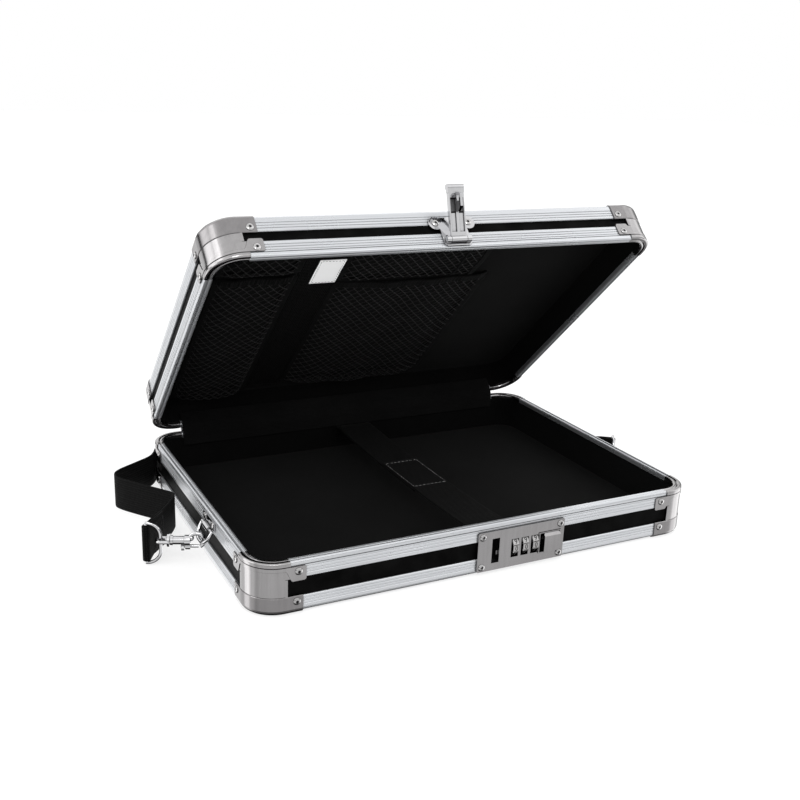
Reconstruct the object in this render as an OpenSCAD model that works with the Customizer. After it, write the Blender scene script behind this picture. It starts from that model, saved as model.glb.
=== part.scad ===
// Storage clipboard case: an aluminium-framed box whose hinged, lockable lid carries a
// spring clip outside and mesh pockets inside, with a detachable shoulder strap.
// Millimetres. The origin is the centre of the base's footprint on the surface that it
// stands on. +X is to the right, +Y towards the hinge and +Z up.

/* [Case] */
// Width of the frame, left to right
case_w = 360; // [330:1:400]
// Depth of the frame, lock side to hinge side
case_d = 264; // [240:1:290]
// Height of the base, from the floor to its rim
base_h = 38; // [38:0.5:60]
// Height of the lid, from its rim to its outer face
lid_h = 33; // [32:0.5:50]
// Radius of the four upright corners, seen from above
corner_r = 22; // [20:0.5:26]
// Angle that the lid stands open
lid_open = 43.4; // [0:0.1:90]
// Gap between the two rims when the lid is shut
rim_gap = 0.4; // [0.3:0.1:1]

/* [Frame rails] */
// Height of the base's lower rail
base_rail_h = 12.2; // [11:0.1:13]
// Height of the base's rim rail
base_rim_h = 12.6; // [12:0.1:13.5]
// Height of the lid's outer rail
lid_rail_h = 13.5; // [12:0.1:14]
// Height of the lid's rim rail
lid_rim_h = 12.1; // [11.8:0.1:13]
// Thickness of the rails' outer skin
skin = 1.4; // [1.2:0.1:1.6]
// Width of the flange that holds the floor or the lid board
flange_w = 14; // [11:0.5:16]
// Thickness of the floor, lid and wall boards
board = 3; // [2.5:0.1:3.5]
// Thickness of the rim's inner lip
lip = 1.7; // [1.2:0.1:2.2]
// Depth of the rim's inner lip
lip_h = 4; // [3:0.1:5]
// Thickness of the rim's top web
rim_web = 1.6; // [1.3:0.1:2]
// Radius of the rails' rounded outer edge
edge_r = 3; // [2:0.1:4]
// Depth of the fine lines drawn along the rails
line_d = 0.3; // [0.1:0.05:0.4]
// Thickness of the fabric lining
lining = 1.2; // [0.8:0.1:1.6]

/* [Corner caps] */
// Height that the caps stand proud of the rails
cap_t = 0.8; // [0.5:0.1:1.2]
// Length of a cap's tab along the rail, from the end of the corner's curve
cap_tab = 14.4; // [13:0.1:18]
// Length of a cap's rim piece, from the end of the corner's curve
cap_rim = 3.6; // [2:0.1:5]
// Length of the cap's web between the rails, from the end of the corner's curve
cap_web = 1.7; // [1:0.1:3]
// How far an upper or inner cap's tab reaches past the rim rail's far edge
tab_drop = 1.5; // [0.5:0.1:2]
// How far a lower or outer cap reaches past its rail's edge
cap_rise = 0.9; // [0.2:0.1:1.4]
// Length of the S curve in which a tab narrows to the band round the corner
tab_curve = 5; // [3:0.1:6]
// Height of the web that the upper cap's band leaves bare on the rim rail's corner
band_step = 6.4; // [5:0.1:7]
// Radius of a rivet's head
rivet_r = 2.6; // [2:0.1:3]
// Height of a rivet's domed head
rivet_h = 1.1; // [0.8:0.1:1.5]
// Radius of a rivet's shank
shank_r = 1.2; // [1:0.05:1.4]

/* [Hinge] */
// Length of the piano hinge
hinge_len = 306; // [280:1:306]
// Number of knuckles, an odd number
knuckles = 17; // [9:2:21]
// Radius of the knuckles
knuckle_r = 1.9; // [1.7:0.1:2.1]
// Radius of the hinge pin
hinge_pin_r = 1; // [0.8:0.05:1.2]
// Thickness of the hinge leaves
leaf_t = 0.8; // [0.6:0.1:1]
// Height of each hinge leaf on its rail
leaf_h = 9; // [7:0.5:10]
// Reach of the inner hinge cover past each rim
cover_reach = 11; // [8:0.5:13]

/* [Lock] */
// Width of the lock's face plate
plate_w = 73; // [72:0.5:78]
// Height of the lock's face plate
plate_h = 30.4; // [29:0.1:31]
// Thickness of the lock's face plate
plate_t = 1.5; // [1.2:0.1:2]
// Centre of the latch slot and of the hasp, from the case's middle
latch_x = 0; // [-20:0.5:20]
// Distance from the latch slot to the middle dial
dial_x = 24.6; // [24.2:0.1:25]
// Distance between the dials
dial_pitch = 8.4; // [8.2:0.1:8.6]
// Width of one dial
dial_w = 6.8; // [6.4:0.1:7]
// Radius of the dials
dial_r = 8.5; // [8:0.1:8.8]
// Height that the dials stand proud of the plate
dial_proud = 1.9; // [1.5:0.1:2.2]
// Radius of the shaft that the dials turn on
dial_shaft_r = 1.5; // [1.2:0.1:2]
// Width of the sliding button
button_w = 13.8; // [12:0.1:14]
// Height of the sliding button
button_h = 14.4; // [12:0.1:15]
// Height that the button stands proud of the plate
button_proud = 2.5; // [1.5:0.1:3]
// Travel of the sliding button
button_travel = 2.6; // [2.4:0.1:2.8]

/* [Hasp] */
// Height of the hasp's pin above the lid's rim
hasp_pin_h = 5; // [4.5:0.1:6]
// Length of the hasp's lever from its pin
hasp_len = 40; // [38:0.5:41]
// Width of the hasp's lever
hasp_w = 12.4; // [11:0.1:14]
// Thickness of the hasp's lever
hasp_t = 1.6; // [1.2:0.1:1.8]
// Angle that the hasp stands up from its shut position
hasp_up = 151; // [90:1:170]
// Thickness of the staple on the hasp
staple_t = 2; // [1.6:0.1:2.4]

/* [Clip] */
// Length of the clip along the lid's short edge
clip_len = 104; // [80:1:130]
// Reach of the clip's jaw from its pin
clip_reach = 44; // [36:0.5:50]
// Height of the clip's pin above the lid board
clip_pin_h = 6; // [5.6:0.1:8]
// Radius of the clip's pin
clip_pin_r = 1.5; // [1.2:0.1:1.8]
// Thickness of the clip's sheet steel
clip_t = 1.4; // [1:0.1:1.6]
// Distance from the lid's edge to the clip's pin
clip_inset = 36; // [32:1:60]
// Width of the clip's base plate
clip_base_w = 34; // [30:1:36]
// Distance from the jaw's ends to the rubber strip's
grip_in = 3; // [2:0.5:10]

/* [Pockets] */
// Width of the left pocket column
pocket_left_w = 61; // [50:1:64]
// Width of the right pocket
pocket_right_w = 134; // [110:1:160]
// Width of the ribbed band between the pockets
divider_w = 33; // [26:1:33]
// Distance from the lid's side wall to the left pocket
pocket_side = 21; // [16:0.5:30]
// Distance from the lid's hinge side to the left pocket's foot
pocket_foot = 16; // [12:0.5:48]
// Length of the pen sleeve along the lid's front
sleeve_w = 116; // [90:1:150]
// How far the pockets' feet stand off the lid's lining
pocket_deep = 12; // [8:0.5:14]
// Thickness of the pocket fabric
mesh_t = 1; // [0.8:0.1:1.4]
// Width of the blank label
label_w = 21; // [16:0.5:26]
// Length of the blank label
label_l = 36; // [28:0.5:44]
// Distance from the lid's front lining to the blank label
label_in = 42.4; // [30:0.2:50]

/* [Hold-down strap] */
// Width of the hold-down strap
hold_w = 33; // [25:1:38]
// Centre of the hold-down strap, from the case's middle
hold_x = 4; // [-10:1:20]
// Thickness of the hold-down strap
hold_t = 1.4; // [1:0.1:2]
// Sag of the hold-down strap at its middle
hold_sag = 3; // [1:0.1:6]
// Length of the strap's ends that hang down inside the walls
hold_end = 14; // [10:0.5:16]

/* [Shoulder strap] */
// Width of the strap's webbing
web_w = 27; // [25:0.5:28]
// Thickness of the strap's webbing
web_t = 1.5; // [1:0.1:1.6]
// Distance from the case's hinge side to the strap rings
ring_back = 173; // [162:1:184]
// Inside width of the rings on the case
ring_w = 20; // [16:0.5:24]
// Depth of the rings on the case
ring_depth = 11; // [9:0.1:12]
// Radius of the rings' wire
ring_wire = 1.2; // [1:0.05:1.3]
// Angle that the rings hang out from the wall
ring_hang = 31; // [25:1:36]
// Angle of the left hook, turned from straight out towards the hinge
hook_left_turn = 22; // [0:1:30]
// Angle of the right hook, turned from straight out towards the hinge
hook_right_turn = 60; // [50:1:64]
// Radius of the hook's barrel
barrel_r = 3; // [2.6:0.1:3.4]
// Length of the hook, from its jaw to the end of its barrel
hook_len = 25; // [24:0.5:30]
// Radius of the wire of the strap's end rings
dee_wire = 1.2; // [1:0.1:1.4]
// Depth of the strap's end rings
dee_depth = 10; // [8:0.5:14]
// Place of the strap's adjuster along the rear, from the case's middle
adjuster_x = 60; // [-60:5:110]

/* [Fits] */
// Radial clearance between a pin and its bore
pin_gap = 0.05; // [0.02:0.01:0.08]
// Clearance between pieces that move past each other
run_gap = 0.3; // [0.2:0.05:0.4]

/* [Hidden] */
$fn = 32;

// A shell is one half of the case: [height, lower or outer rail height, rim rail height].
BASE = [base_h, base_rail_h, base_rim_h];
LID = [lid_h, lid_rail_h, lid_rim_h];
half_w = case_w / 2;
half_d = case_d / 2;
straight_x = case_w - 2 * corner_r;
straight_y = case_d - 2 * corner_r;
in_wall = skin + board;
rim_in = in_wall + lip;
bead_r = 1.5;
bead_groove = rim_in - 3.2;
floor_z = cap_t + skin;
floor_top = floor_z + board;
// The hinge axis lies behind the rear rails, level with the gap between the rims.
hinge_y = half_d + leaf_t + knuckle_r - 0.5;
hinge_z = base_h + rim_gap / 2;
lid_rim_z = base_h + rim_gap;
lid_top_z = lid_rim_z + lid_h;
lid_face_z = lid_top_z - floor_z;

// ---- outlines ------------------------------------------------------------------

// Points on an arc round c, from angle a0 to a1.
function arc(c, r, a0, a1, n) =
    [for (i = [0:n]) let (a = a0 + (a1 - a0) * i / n) c + r * [cos(a), sin(a)]];

// A shallow V groove in an outer face that runs upwards at u = 0.
function line_groove(z) = [[0, z - 0.35], [line_d, z], [0, z + 0.35]];

function unit(v) = v / norm(v);
function side_of(v) = [-v.y, v.x];

// Mean direction of a path at point i, and the stretch that keeps a strip's thickness there.
function before(p, i) = unit(p[max(i, 1)] - p[max(i, 1) - 1]);
function after(p, i) = unit(p[min(i + 1, len(p) - 1)] - p[min(i, len(p) - 2)]);
function heading(p, i) = unit(before(p, i) + after(p, i));
function offset_at(p, i, d) = p[i] + d / (heading(p, i) * before(p, i)) * side_of(heading(p, i));

// Outline of a strip of thickness t that follows the path p.
function strip(p, t) = concat(
    [for (i = [0:len(p) - 1]) offset_at(p, i, t / 2)],
    [for (i = [len(p) - 1:-1:0]) offset_at(p, i, -t / 2)]
);

// Smooth curve through points of any dimension, n steps to each span.
function smooth(p, n) = concat(
    [for (i = [0:len(p) - 2], k = [0:n - 1])
        let (
            t = k / n,
            a = p[max(i - 1, 0)],
            b = p[i],
            c = p[i + 1],
            d = p[min(i + 2, len(p) - 1)]
        )
        b + t / 2 * (c - a) + t * t / 2 * (2 * a - 5 * b + 4 * c - d)
            + t * t * t / 2 * (3 * b - a - 3 * c + d)],
    [p[len(p) - 1]]
);

// Section of the lower or outer rail: u runs inwards from the outer face, z up.
module rail_section(s) {
    h = s[1];
    polygon(concat(
        [[flange_w, cap_t]],
        arc([edge_r, cap_t + edge_r], edge_r, 270, 180, 5),
        line_groove(h * 0.5),
        line_groove(h * 0.66),
        line_groove(h * 0.82),
        [[0, h - 0.5], [0.5, h], [skin, h], [skin, floor_z], [flange_w, floor_z]]
    ));
}

// Top of the rim, from the outer face at u = out to the inner lip's foot: two rounded
// beads with a groove between them.
function rim_top(out, h) = concat(
    arc([out + bead_r, h - bead_r], bead_r, 180, 90, 4),
    [[bead_groove - 0.9, h], [bead_groove, h - 0.9], [bead_groove + 0.6, h - 0.3]],
    arc([rim_in - bead_r, h - bead_r], bead_r, 90, 0, 4),
    [[rim_in, h - lip_h]]
);

// Section of the rim rail: skin, beads, top web and inner lip round the board's edge.
module rim_section(s) {
    h = s[0];
    low = h - s[2];
    polygon(concat(
        [[skin, low], [0.5, low], [0, low + 0.5]],
        line_groove(low + s[2] * 0.25),
        line_groove(low + s[2] * 0.42),
        line_groove(low + s[2] * 0.59),
        [[0, h - 3.7], [0.6, h - 3.4], [0, h - 3.1]],
        rim_top(0, h),
        [[in_wall, h - lip_h], [in_wall, h - rim_web], [skin, h - rim_web]]
    ));
}

// Section of the lower or outer corner cap, wrapped round the outer edge.
module low_cap_section(s) {
    top = s[1] + cap_rise;
    polygon(concat(
        [[flange_w, 0]],
        arc([edge_r, cap_t + edge_r], edge_r + cap_t, 270, 180, 5),
        [[-cap_t, top - 0.4], [-cap_t + 0.4, top], [skin, top]],
        [[skin, floor_z], [flange_w, floor_z]]
    ));
}

// Section of the tab that a lower cap lays over its rail.
module low_tab_section(s) {
    top = s[1] + cap_rise;
    polygon(concat(
        [[flange_w - 2, 0]],
        arc([edge_r, cap_t + edge_r], edge_r + cap_t, 270, 180, 5),
        [[-cap_t, top - 0.4], [-cap_t + 0.4, top], [0, top]],
        arc([edge_r, cap_t + edge_r], edge_r, 180, 270, 5),
        [[flange_w - 2, cap_t]]
    ));
}

// Section of the upper cap: a thinner web below, a proud band and the rolled rim.
module up_cap_section(s, low, step) {
    h = s[0];
    polygon(concat(
        [[skin, low], [-cap_t / 2 + 0.3, low], [-cap_t / 2, low + 0.3]],
        [[-cap_t / 2, step - 0.3], [-cap_t, step]],
        [[-cap_t, h - 3.9], [-cap_t + 0.6, h - 3.5], [-cap_t, h - 3.1]],
        rim_top(-cap_t, h),
        [[in_wall, h - lip_h], [in_wall, h - rim_web], [skin, h - rim_web]]
    ));
}

// ---- placing -------------------------------------------------------------------

// Extrudes a section along +X, with u inwards as +Y.
module run(length) {
    rotate([90, 0, 90]) linear_extrude(length) children();
}

// Lays a section along the four straight sides, cut back by gap at each end.
module four_sides(gap) {
    for (k = [0:3]) {
        out = k % 2 == 0 ? half_d : half_w;
        length = (k % 2 == 0 ? straight_x : straight_y) - 2 * gap;
        rotate([0, 0, 90 * k]) translate([-length / 2, -out, 0]) run(length) children();
    }
}

// Puts a piece at each corner; its own origin is the centre of the corner's curve.
module four_corners() {
    for (k = [0:3]) {
        x = k == 0 || k == 3 ? 1 : -1;
        y = k < 2 ? 1 : -1;
        translate([x * (half_w - corner_r), y * (half_d - corner_r), 0])
            rotate([0, 0, 90 * k]) children();
    }
}

// In a corner's frame: a piece laid along the straight side next to the curve, and its twin.
module both_runs() {
    rotate([0, 0, 180]) translate([0, -corner_r, 0]) children();
    mirror([1, -1, 0]) rotate([0, 0, 180]) translate([0, -corner_r, 0]) children();
}

// A section swept round a corner's quarter turn.
module quarter() {
    rotate_extrude(angle = 90) translate([corner_r, 0]) mirror([1, 0]) children();
}

// Turns the lid from shut to where it stands.
module lid_place() {
    translate([0, hinge_y, hinge_z]) rotate([-lid_open, 0, 0])
        translate([0, -hinge_y, -hinge_z]) children();
}

// A shell turned over for the lid, in place.
module lid_shell() {
    lid_place() translate([0, 0, lid_top_z]) mirror([0, 0, 1]) children();
}

// A prism with rounded upright edges.
module rounded_plate(w, d, r, h) {
    linear_extrude(h) {
        square([w - 2 * r, d], center = true);
        square([w, d - 2 * r], center = true);
        for (x = [-1, 1], y = [-1, 1])
            translate([x * (w / 2 - r), y * (d / 2 - r)]) circle(r, $fn = 64);
    }
}

module box_at(low, high) {
    translate(low) cube(high - low);
}

// ---- shell pieces, shared by base and lid ---------------------------------------

// Places a piece, axis outwards, at each rivet of the corner caps.
module cap_rivet_spots(s) {
    for (spot = [[cap_tab - 5.3, s[0] - s[2] + 5.2], [cap_tab - 6.5, s[1] - 3]])
        four_corners() both_runs() translate([spot.x, 0, spot.y]) rotate([90, 0, 0]) children();
}

module rivet_bores(s) {
    cap_rivet_spots(s) translate([0, 0, -in_wall]) cylinder(r = shank_r + pin_gap, h = 3 * in_wall);
}

module rivet(seat, depth) {
    translate([0, 0, seat]) rotate_extrude() polygon(concat(
        [[0, -depth], [shank_r, -depth], [shank_r, 0], [rivet_r, 0], [rivet_r, 0.25]],
        [for (i = [1:4]) [rivet_r * cos(22.5 * i), 0.25 + (rivet_h - 0.25) * sin(22.5 * i)]]
    ));
}

module floor_board() {
    translate([0, 0, floor_z])
        rounded_plate(case_w - 2 * in_wall, case_d - 2 * in_wall, corner_r - in_wall, board);
}

module wall_boards(s) {
    four_sides(0) translate([skin, floor_z]) square([board, s[0] - rim_web - floor_z]);
}

module corner_posts(s) {
    four_corners() quarter() translate([skin, floor_z]) square([board, s[0] - rim_web - floor_z]);
}

module lower_rails(s) {
    difference() {
        four_sides(0) rail_section(s);
        rivet_bores(s);
    }
}

module rim_rails(s) {
    difference() {
        four_sides(cap_rim) rim_section(s);
        rivet_bores(s);
    }
}

module lower_caps(s) {
    difference() {
        four_corners() {
            quarter() low_cap_section(s);
            both_runs() run(cap_tab - 2) low_tab_section(s);
        }
        rivet_bores(s);
    }
}

// Outline of an upper cap's tab along its rail: it narrows in an S curve to the band that
// goes on round the corner, and its free end is rounded below.
module tab_outline(s) {
    top = s[0] - 3.9;
    low = s[0] - s[2] - tab_drop;
    band = low + tab_drop + band_step;
    polygon(concat(
        [for (i = [0:6]) [tab_curve * i / 6, low + (band - low) * (1 + cos(30 * i)) / 2]],
        arc([cap_tab - 1.6, low + 1.6], 1.6, 270, 360, 4),
        [[cap_tab, top - 1], [cap_tab - 1, top], [0, top]]
    ));
}

module upper_caps(s) {
    low = s[0] - s[2];
    foot = s[1] + cap_rise;
    difference() {
        four_corners() {
            quarter() up_cap_section(s, foot, low + band_step);
            both_runs() {
                run(cap_rim) up_cap_section(s, low, low + band_step);
                run(cap_web) translate([-cap_t / 2, foot])
                    square([skin + cap_t / 2, low - foot]);
                translate([0, -cap_t, 0]) rotate([90, 0, 0]) mirror([0, 0, 1])
                    linear_extrude(cap_t) tab_outline(s);
            }
        }
        rivet_bores(s);
    }
}

module inner_lining(s) {
    w = case_w - 2 * in_wall;
    d = case_d - 2 * in_wall;
    r = corner_r - in_wall;
    difference() {
        translate([0, 0, floor_top]) rounded_plate(w, d, r, s[0] - lip_h - floor_top);
        translate([0, 0, floor_top + lining])
            rounded_plate(w - 2 * lining, d - 2 * lining, r - lining, s[0]);
    }
}

module lid_board() { color("#1b1c1e") lid_shell() floor_board(); }
module lid_wall_boards() { color("#141416") lid_shell() wall_boards(LID); }
module lid_corner_posts() { color("#141416") lid_shell() corner_posts(LID); }
module lid_outer_rails() { color("#c9ccd0") lid_shell() lower_rails(LID); }
module lid_rim_rails() { color("#c9ccd0") lid_shell() rim_rails(LID); }
module lid_outer_caps() { color("#9b9a9c") lid_shell() lower_caps(LID); }
module lid_inner_caps() { color("#9b9a9c") lid_shell() upper_caps(LID); }
module lid_lining() { color("#0e0e10") lid_shell() inner_lining(LID); }

// The floor board has a field inside the rails' flanges that stands level with the caps.
module base_floor_board() {
    field = flange_w + 0.4;
    color("#1b1c1e") {
        floor_board();
        rounded_plate(case_w - 2 * field, case_d - 2 * field, corner_r - field, floor_z);
    }
}
module base_corner_posts() { color("#141416") corner_posts(BASE); }
module base_lower_caps() { color("#9b9a9c") lower_caps(BASE); }
module base_upper_caps() { color("#9b9a9c") upper_caps(BASE); }

// ---- lock ------------------------------------------------------------------------

plate_z = (base_h - plate_h) / 2 - 1.4;
plate_x = latch_x - 14.7;
plate_y = -half_d - plate_t;
screw_in = 3.6;
dial_y = plate_y - dial_proud + dial_r;
dial_z = plate_z + plate_h / 2 - 0.9;
dial_xs = [for (i = [-1:1]) latch_x + dial_x + i * dial_pitch];
window_h = 2 * (dial_r - 1.4);
// The latch slot takes the hasp's staple; the lever hangs in front of the plate.
slot_w = 6.2;
slot_low = 8;
slot_high = 27;
// The button slides from right, where the lock is open, to left.
button_x = plate_x + plate_w - 4.3 - button_w;
button_z = dial_z - button_h / 2;
// Housing behind the plate, set into a cut-out of the front wall.
house_low = [latch_x - 8.6, -half_d, floor_top + 0.1];
house_high = [button_x + 11.7, dial_y + dial_r + 2.2, plate_z + plate_h - 2.2];
house_wall = 1.2;
// Inner wall that carries the shaft's left end, clear of the staple and behind the bolt.
web_x = latch_x + 9.4;
bolt_y = -half_d + run_gap;
bolt_t = 2;
button_back = -half_d - 0.2;
bolt_low = house_low.z + house_wall + 0.2;

module lock_cutout() {
    box_at(house_low - [0, plate_t + 2, 0], house_high + [0, 40, 0]);
}

module screw_spots() {
    for (x = [plate_x + screw_in, plate_x + plate_w - screw_in],
         z = [plate_z + screw_in, plate_z + plate_h - screw_in])
        translate([x, plate_y, z]) rotate([90, 0, 0]) children();
}

module screw_bores() {
    screw_spots() translate([0, 0, -plate_t - 2 * in_wall]) cylinder(r = shank_r + pin_gap, h = 30);
}

module base_wall_boards() {
    color("#141416") difference() {
        wall_boards(BASE);
        lock_cutout();
    }
}

module base_lower_rails() {
    color("#c9ccd0") difference() {
        lower_rails(BASE);
        lock_cutout();
        screw_bores();
    }
}

module base_rim_rails() {
    color("#c9ccd0") difference() {
        rim_rails(BASE);
        lock_cutout();
        screw_bores();
        bracket_rivet_spots() translate([0, 0, -in_wall]) cylinder(r = shank_r + pin_gap, h = 12);
    }
}

module base_lining() {
    color("#0e0e10") difference() {
        inner_lining(BASE);
        lock_cutout();
    }
}

module lock_plate() {
    color("#a7a6a8") difference() {
        union() {
            translate([plate_x, -half_d, plate_z]) rotate([90, 0, 0]) linear_extrude(plate_t)
                polygon([
                    [0, 0.8], [0.8, 0], [plate_w - 0.8, 0], [plate_w, 0.8],
                    [plate_w, plate_h - 0.8], [plate_w - 0.8, plate_h],
                    [0.8, plate_h], [0, plate_h - 0.8]
                ]);
            box_at([button_x - button_travel - 1.3, plate_y - 0.6, button_z - 0.9],
                [button_x + button_w + 1.3, plate_y, button_z + button_h + 0.9]);
        }
        box_at([latch_x - slot_w / 2, plate_y - 1, slot_low],
            [latch_x + slot_w / 2, -half_d + 1, slot_high]);
        for (x = dial_xs)
            box_at([x - dial_w / 2 - run_gap, plate_y - 1, dial_z - window_h / 2],
                [x + dial_w / 2 + run_gap, -half_d + 1, dial_z + window_h / 2]);
        box_at([button_x - button_travel - run_gap, plate_y - 1, button_z - run_gap],
            [button_x + button_w + run_gap, -half_d + 1, button_z + button_h + run_gap]);
        screw_bores();
    }
}

module lock_screws() {
    color("#b9b9bb") screw_spots() difference() {
        rivet(0, plate_t + skin - 0.1);
        translate([0, 0, rivet_h]) cube([2.6, 0.6, 0.9], center = true);
        translate([0, 0, rivet_h]) cube([0.6, 2.6, 0.9], center = true);
    }
}

module lock_housing() {
    inner_low = house_low + [house_wall, -1, house_wall];
    inner_high = house_high - [house_wall, house_wall, house_wall];
    color("#1a1a1c") difference() {
        box_at(house_low + [pin_gap, pin_gap, pin_gap], house_high - [pin_gap, 0, pin_gap]);
        difference() {
            box_at(inner_low, inner_high);
            box_at([web_x, bolt_y + bolt_t + run_gap, house_low.z],
                [web_x + house_wall, house_high.y, house_high.z]);
        }
        translate([web_x - 1, dial_y, dial_z]) rotate([0, 90, 0])
            cylinder(r = dial_shaft_r + pin_gap, h = plate_w);
    }
}

module dial_shaft() {
    color("#8d8f93") translate([web_x + 0.1, dial_y, dial_z]) rotate([0, 90, 0])
        cylinder(r = dial_shaft_r, h = house_high.x - web_x - 0.2);
}

// A number wheel: ten flats, with a grip notch between each pair of numbers.
module dial(x) {
    color("#b4b4b6") translate([x - dial_w / 2, dial_y, dial_z]) rotate([0, 90, 0]) difference() {
        intersection() {
            cylinder(r = dial_r, h = dial_w, $fn = 60);
            cylinder(r = dial_r * 1.018, h = dial_w, $fn = 10);
        }
        translate([0, 0, -1]) cylinder(r = dial_shaft_r + pin_gap, h = dial_w + 2);
        for (i = [0:9]) rotate([0, 0, 36 * i]) translate([dial_r, 0, dial_w / 2])
            cube([0.9, 0.9, dial_w + 2], center = true);
    }
}

module dial_1() { dial(dial_xs[0]); }
module dial_2() { dial(dial_xs[1]); }
module dial_3() { dial(dial_xs[2]); }

module lock_button() {
    front = plate_y - button_proud;
    color("#a2a1a3") difference() {
        translate([button_x, button_back, button_z]) rotate([90, 0, 0])
            linear_extrude(button_back - front) polygon([
                [0, 0.8], [0.8, 0], [button_w - 0.8, 0], [button_w, 0.8],
                [button_w, button_h - 0.8], [button_w - 0.8, button_h],
                [0.8, button_h], [0, button_h - 0.8]
            ]);
        // Bevel along the top edge.
        translate([button_x + button_w / 2, front, button_z + button_h]) rotate([45, 0, 0])
            cube([button_w + 2, 2.6, 2.6], center = true);
    }
}

// The bolt runs under the dials and turns up to a finger beside the latch slot.
module lock_bolt() {
    tip = latch_x + staple_t / 2 + 0.6;
    arm = tip + 3.2;
    stem = button_x + 3;
    color("#97989b") {
        box_at([arm, bolt_y, bolt_low], [stem + 4, bolt_y + bolt_t, bolt_low + 1.8]);
        box_at([arm, bolt_y, bolt_low], [arm + 2.4, bolt_y + bolt_t, finger_z + 3]);
        box_at([tip, bolt_y, finger_z], [arm + 2.4, bolt_y + bolt_t, finger_z + 3]);
        box_at([stem, button_back, bolt_low + 3.6], [stem + 4, bolt_y + bolt_t, button_z + button_h / 2]);
        box_at([stem, bolt_y, bolt_low], [stem + 4, bolt_y + bolt_t, bolt_low + 4]);
    }
}

// ---- hasp ------------------------------------------------------------------------

hasp_gap = 0.5;
hasp_y = plate_y - hasp_gap - hasp_t / 2;
hasp_z = lid_rim_z + hasp_pin_h;
hasp_pin_r = 1.1;
hasp_eye_r = 2.3;
// The staple hangs from staple_near to staple_far below the pin when shut.
staple_near = 19;
staple_far = 32.4;
staple_deep = 7;
finger_z = hasp_z - staple_far + 2.4;
hasp_rivet_x = 13.3;
hasp_rivet_h = 20;
base_plate_t = 1.2;

module hasp_turn() {
    translate([0, hasp_y, hasp_z]) rotate([-hasp_up, 0, 0]) translate([0, -hasp_y, -hasp_z])
        children();
}

module hasp_rivet_spots() {
    for (x = [-1, 1])
        translate([latch_x + x * hasp_rivet_x, -half_d, lid_rim_z + hasp_rivet_h])
            rotate([90, 0, 0]) children();
}

// Plate with two round ears, and two knuckles that hold the pin.
module hasp_base() {
    eye_x = hasp_w / 2 + 0.3;
    color("#c4c5c8") lid_place() difference() {
        union() {
            translate([latch_x, -half_d, lid_rim_z]) rotate([90, 0, 0]) linear_extrude(base_plate_t) {
                for (x = [-1, 1]) translate([x * hasp_rivet_x, hasp_rivet_h]) circle(5.4);
                translate([-hasp_rivet_x, hasp_rivet_h - 3.4]) square([2 * hasp_rivet_x, 6.8]);
                polygon([
                    [-11, 2.6], [-9, 0.8], [9, 0.8], [11, 2.6],
                    [11, 17], [13, 24.5], [-13, 24.5], [-11, 17]
                ]);
            }
            for (x = [-eye_x - 3.4, eye_x]) translate([latch_x + x, 0, 0]) {
                translate([0, hasp_y, hasp_z]) rotate([0, 90, 0]) cylinder(r = hasp_eye_r, h = 3.4);
                box_at([0, hasp_y, hasp_z - hasp_eye_r], [3.4, -half_d, hasp_z + hasp_eye_r]);
            }
        }
        box_at([latch_x - eye_x, -half_d - 4, hasp_z - hasp_eye_r - run_gap],
            [latch_x + eye_x, -half_d + 1, hasp_z + hasp_eye_r + run_gap]);
        translate([latch_x - 20, hasp_y, hasp_z]) rotate([0, 90, 0])
            cylinder(r = hasp_pin_r + pin_gap, h = 40);
        hasp_rivet_spots() translate([0, 0, -1]) cylinder(r = shank_r + pin_gap, h = 6);
    }
}

module hasp_pin() {
    length = hasp_w + 7.8;
    color("#b3b4b7") lid_place() translate([latch_x - length / 2, hasp_y, hasp_z])
        rotate([0, 90, 0]) cylinder(r = hasp_pin_r, h = length);
}

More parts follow.
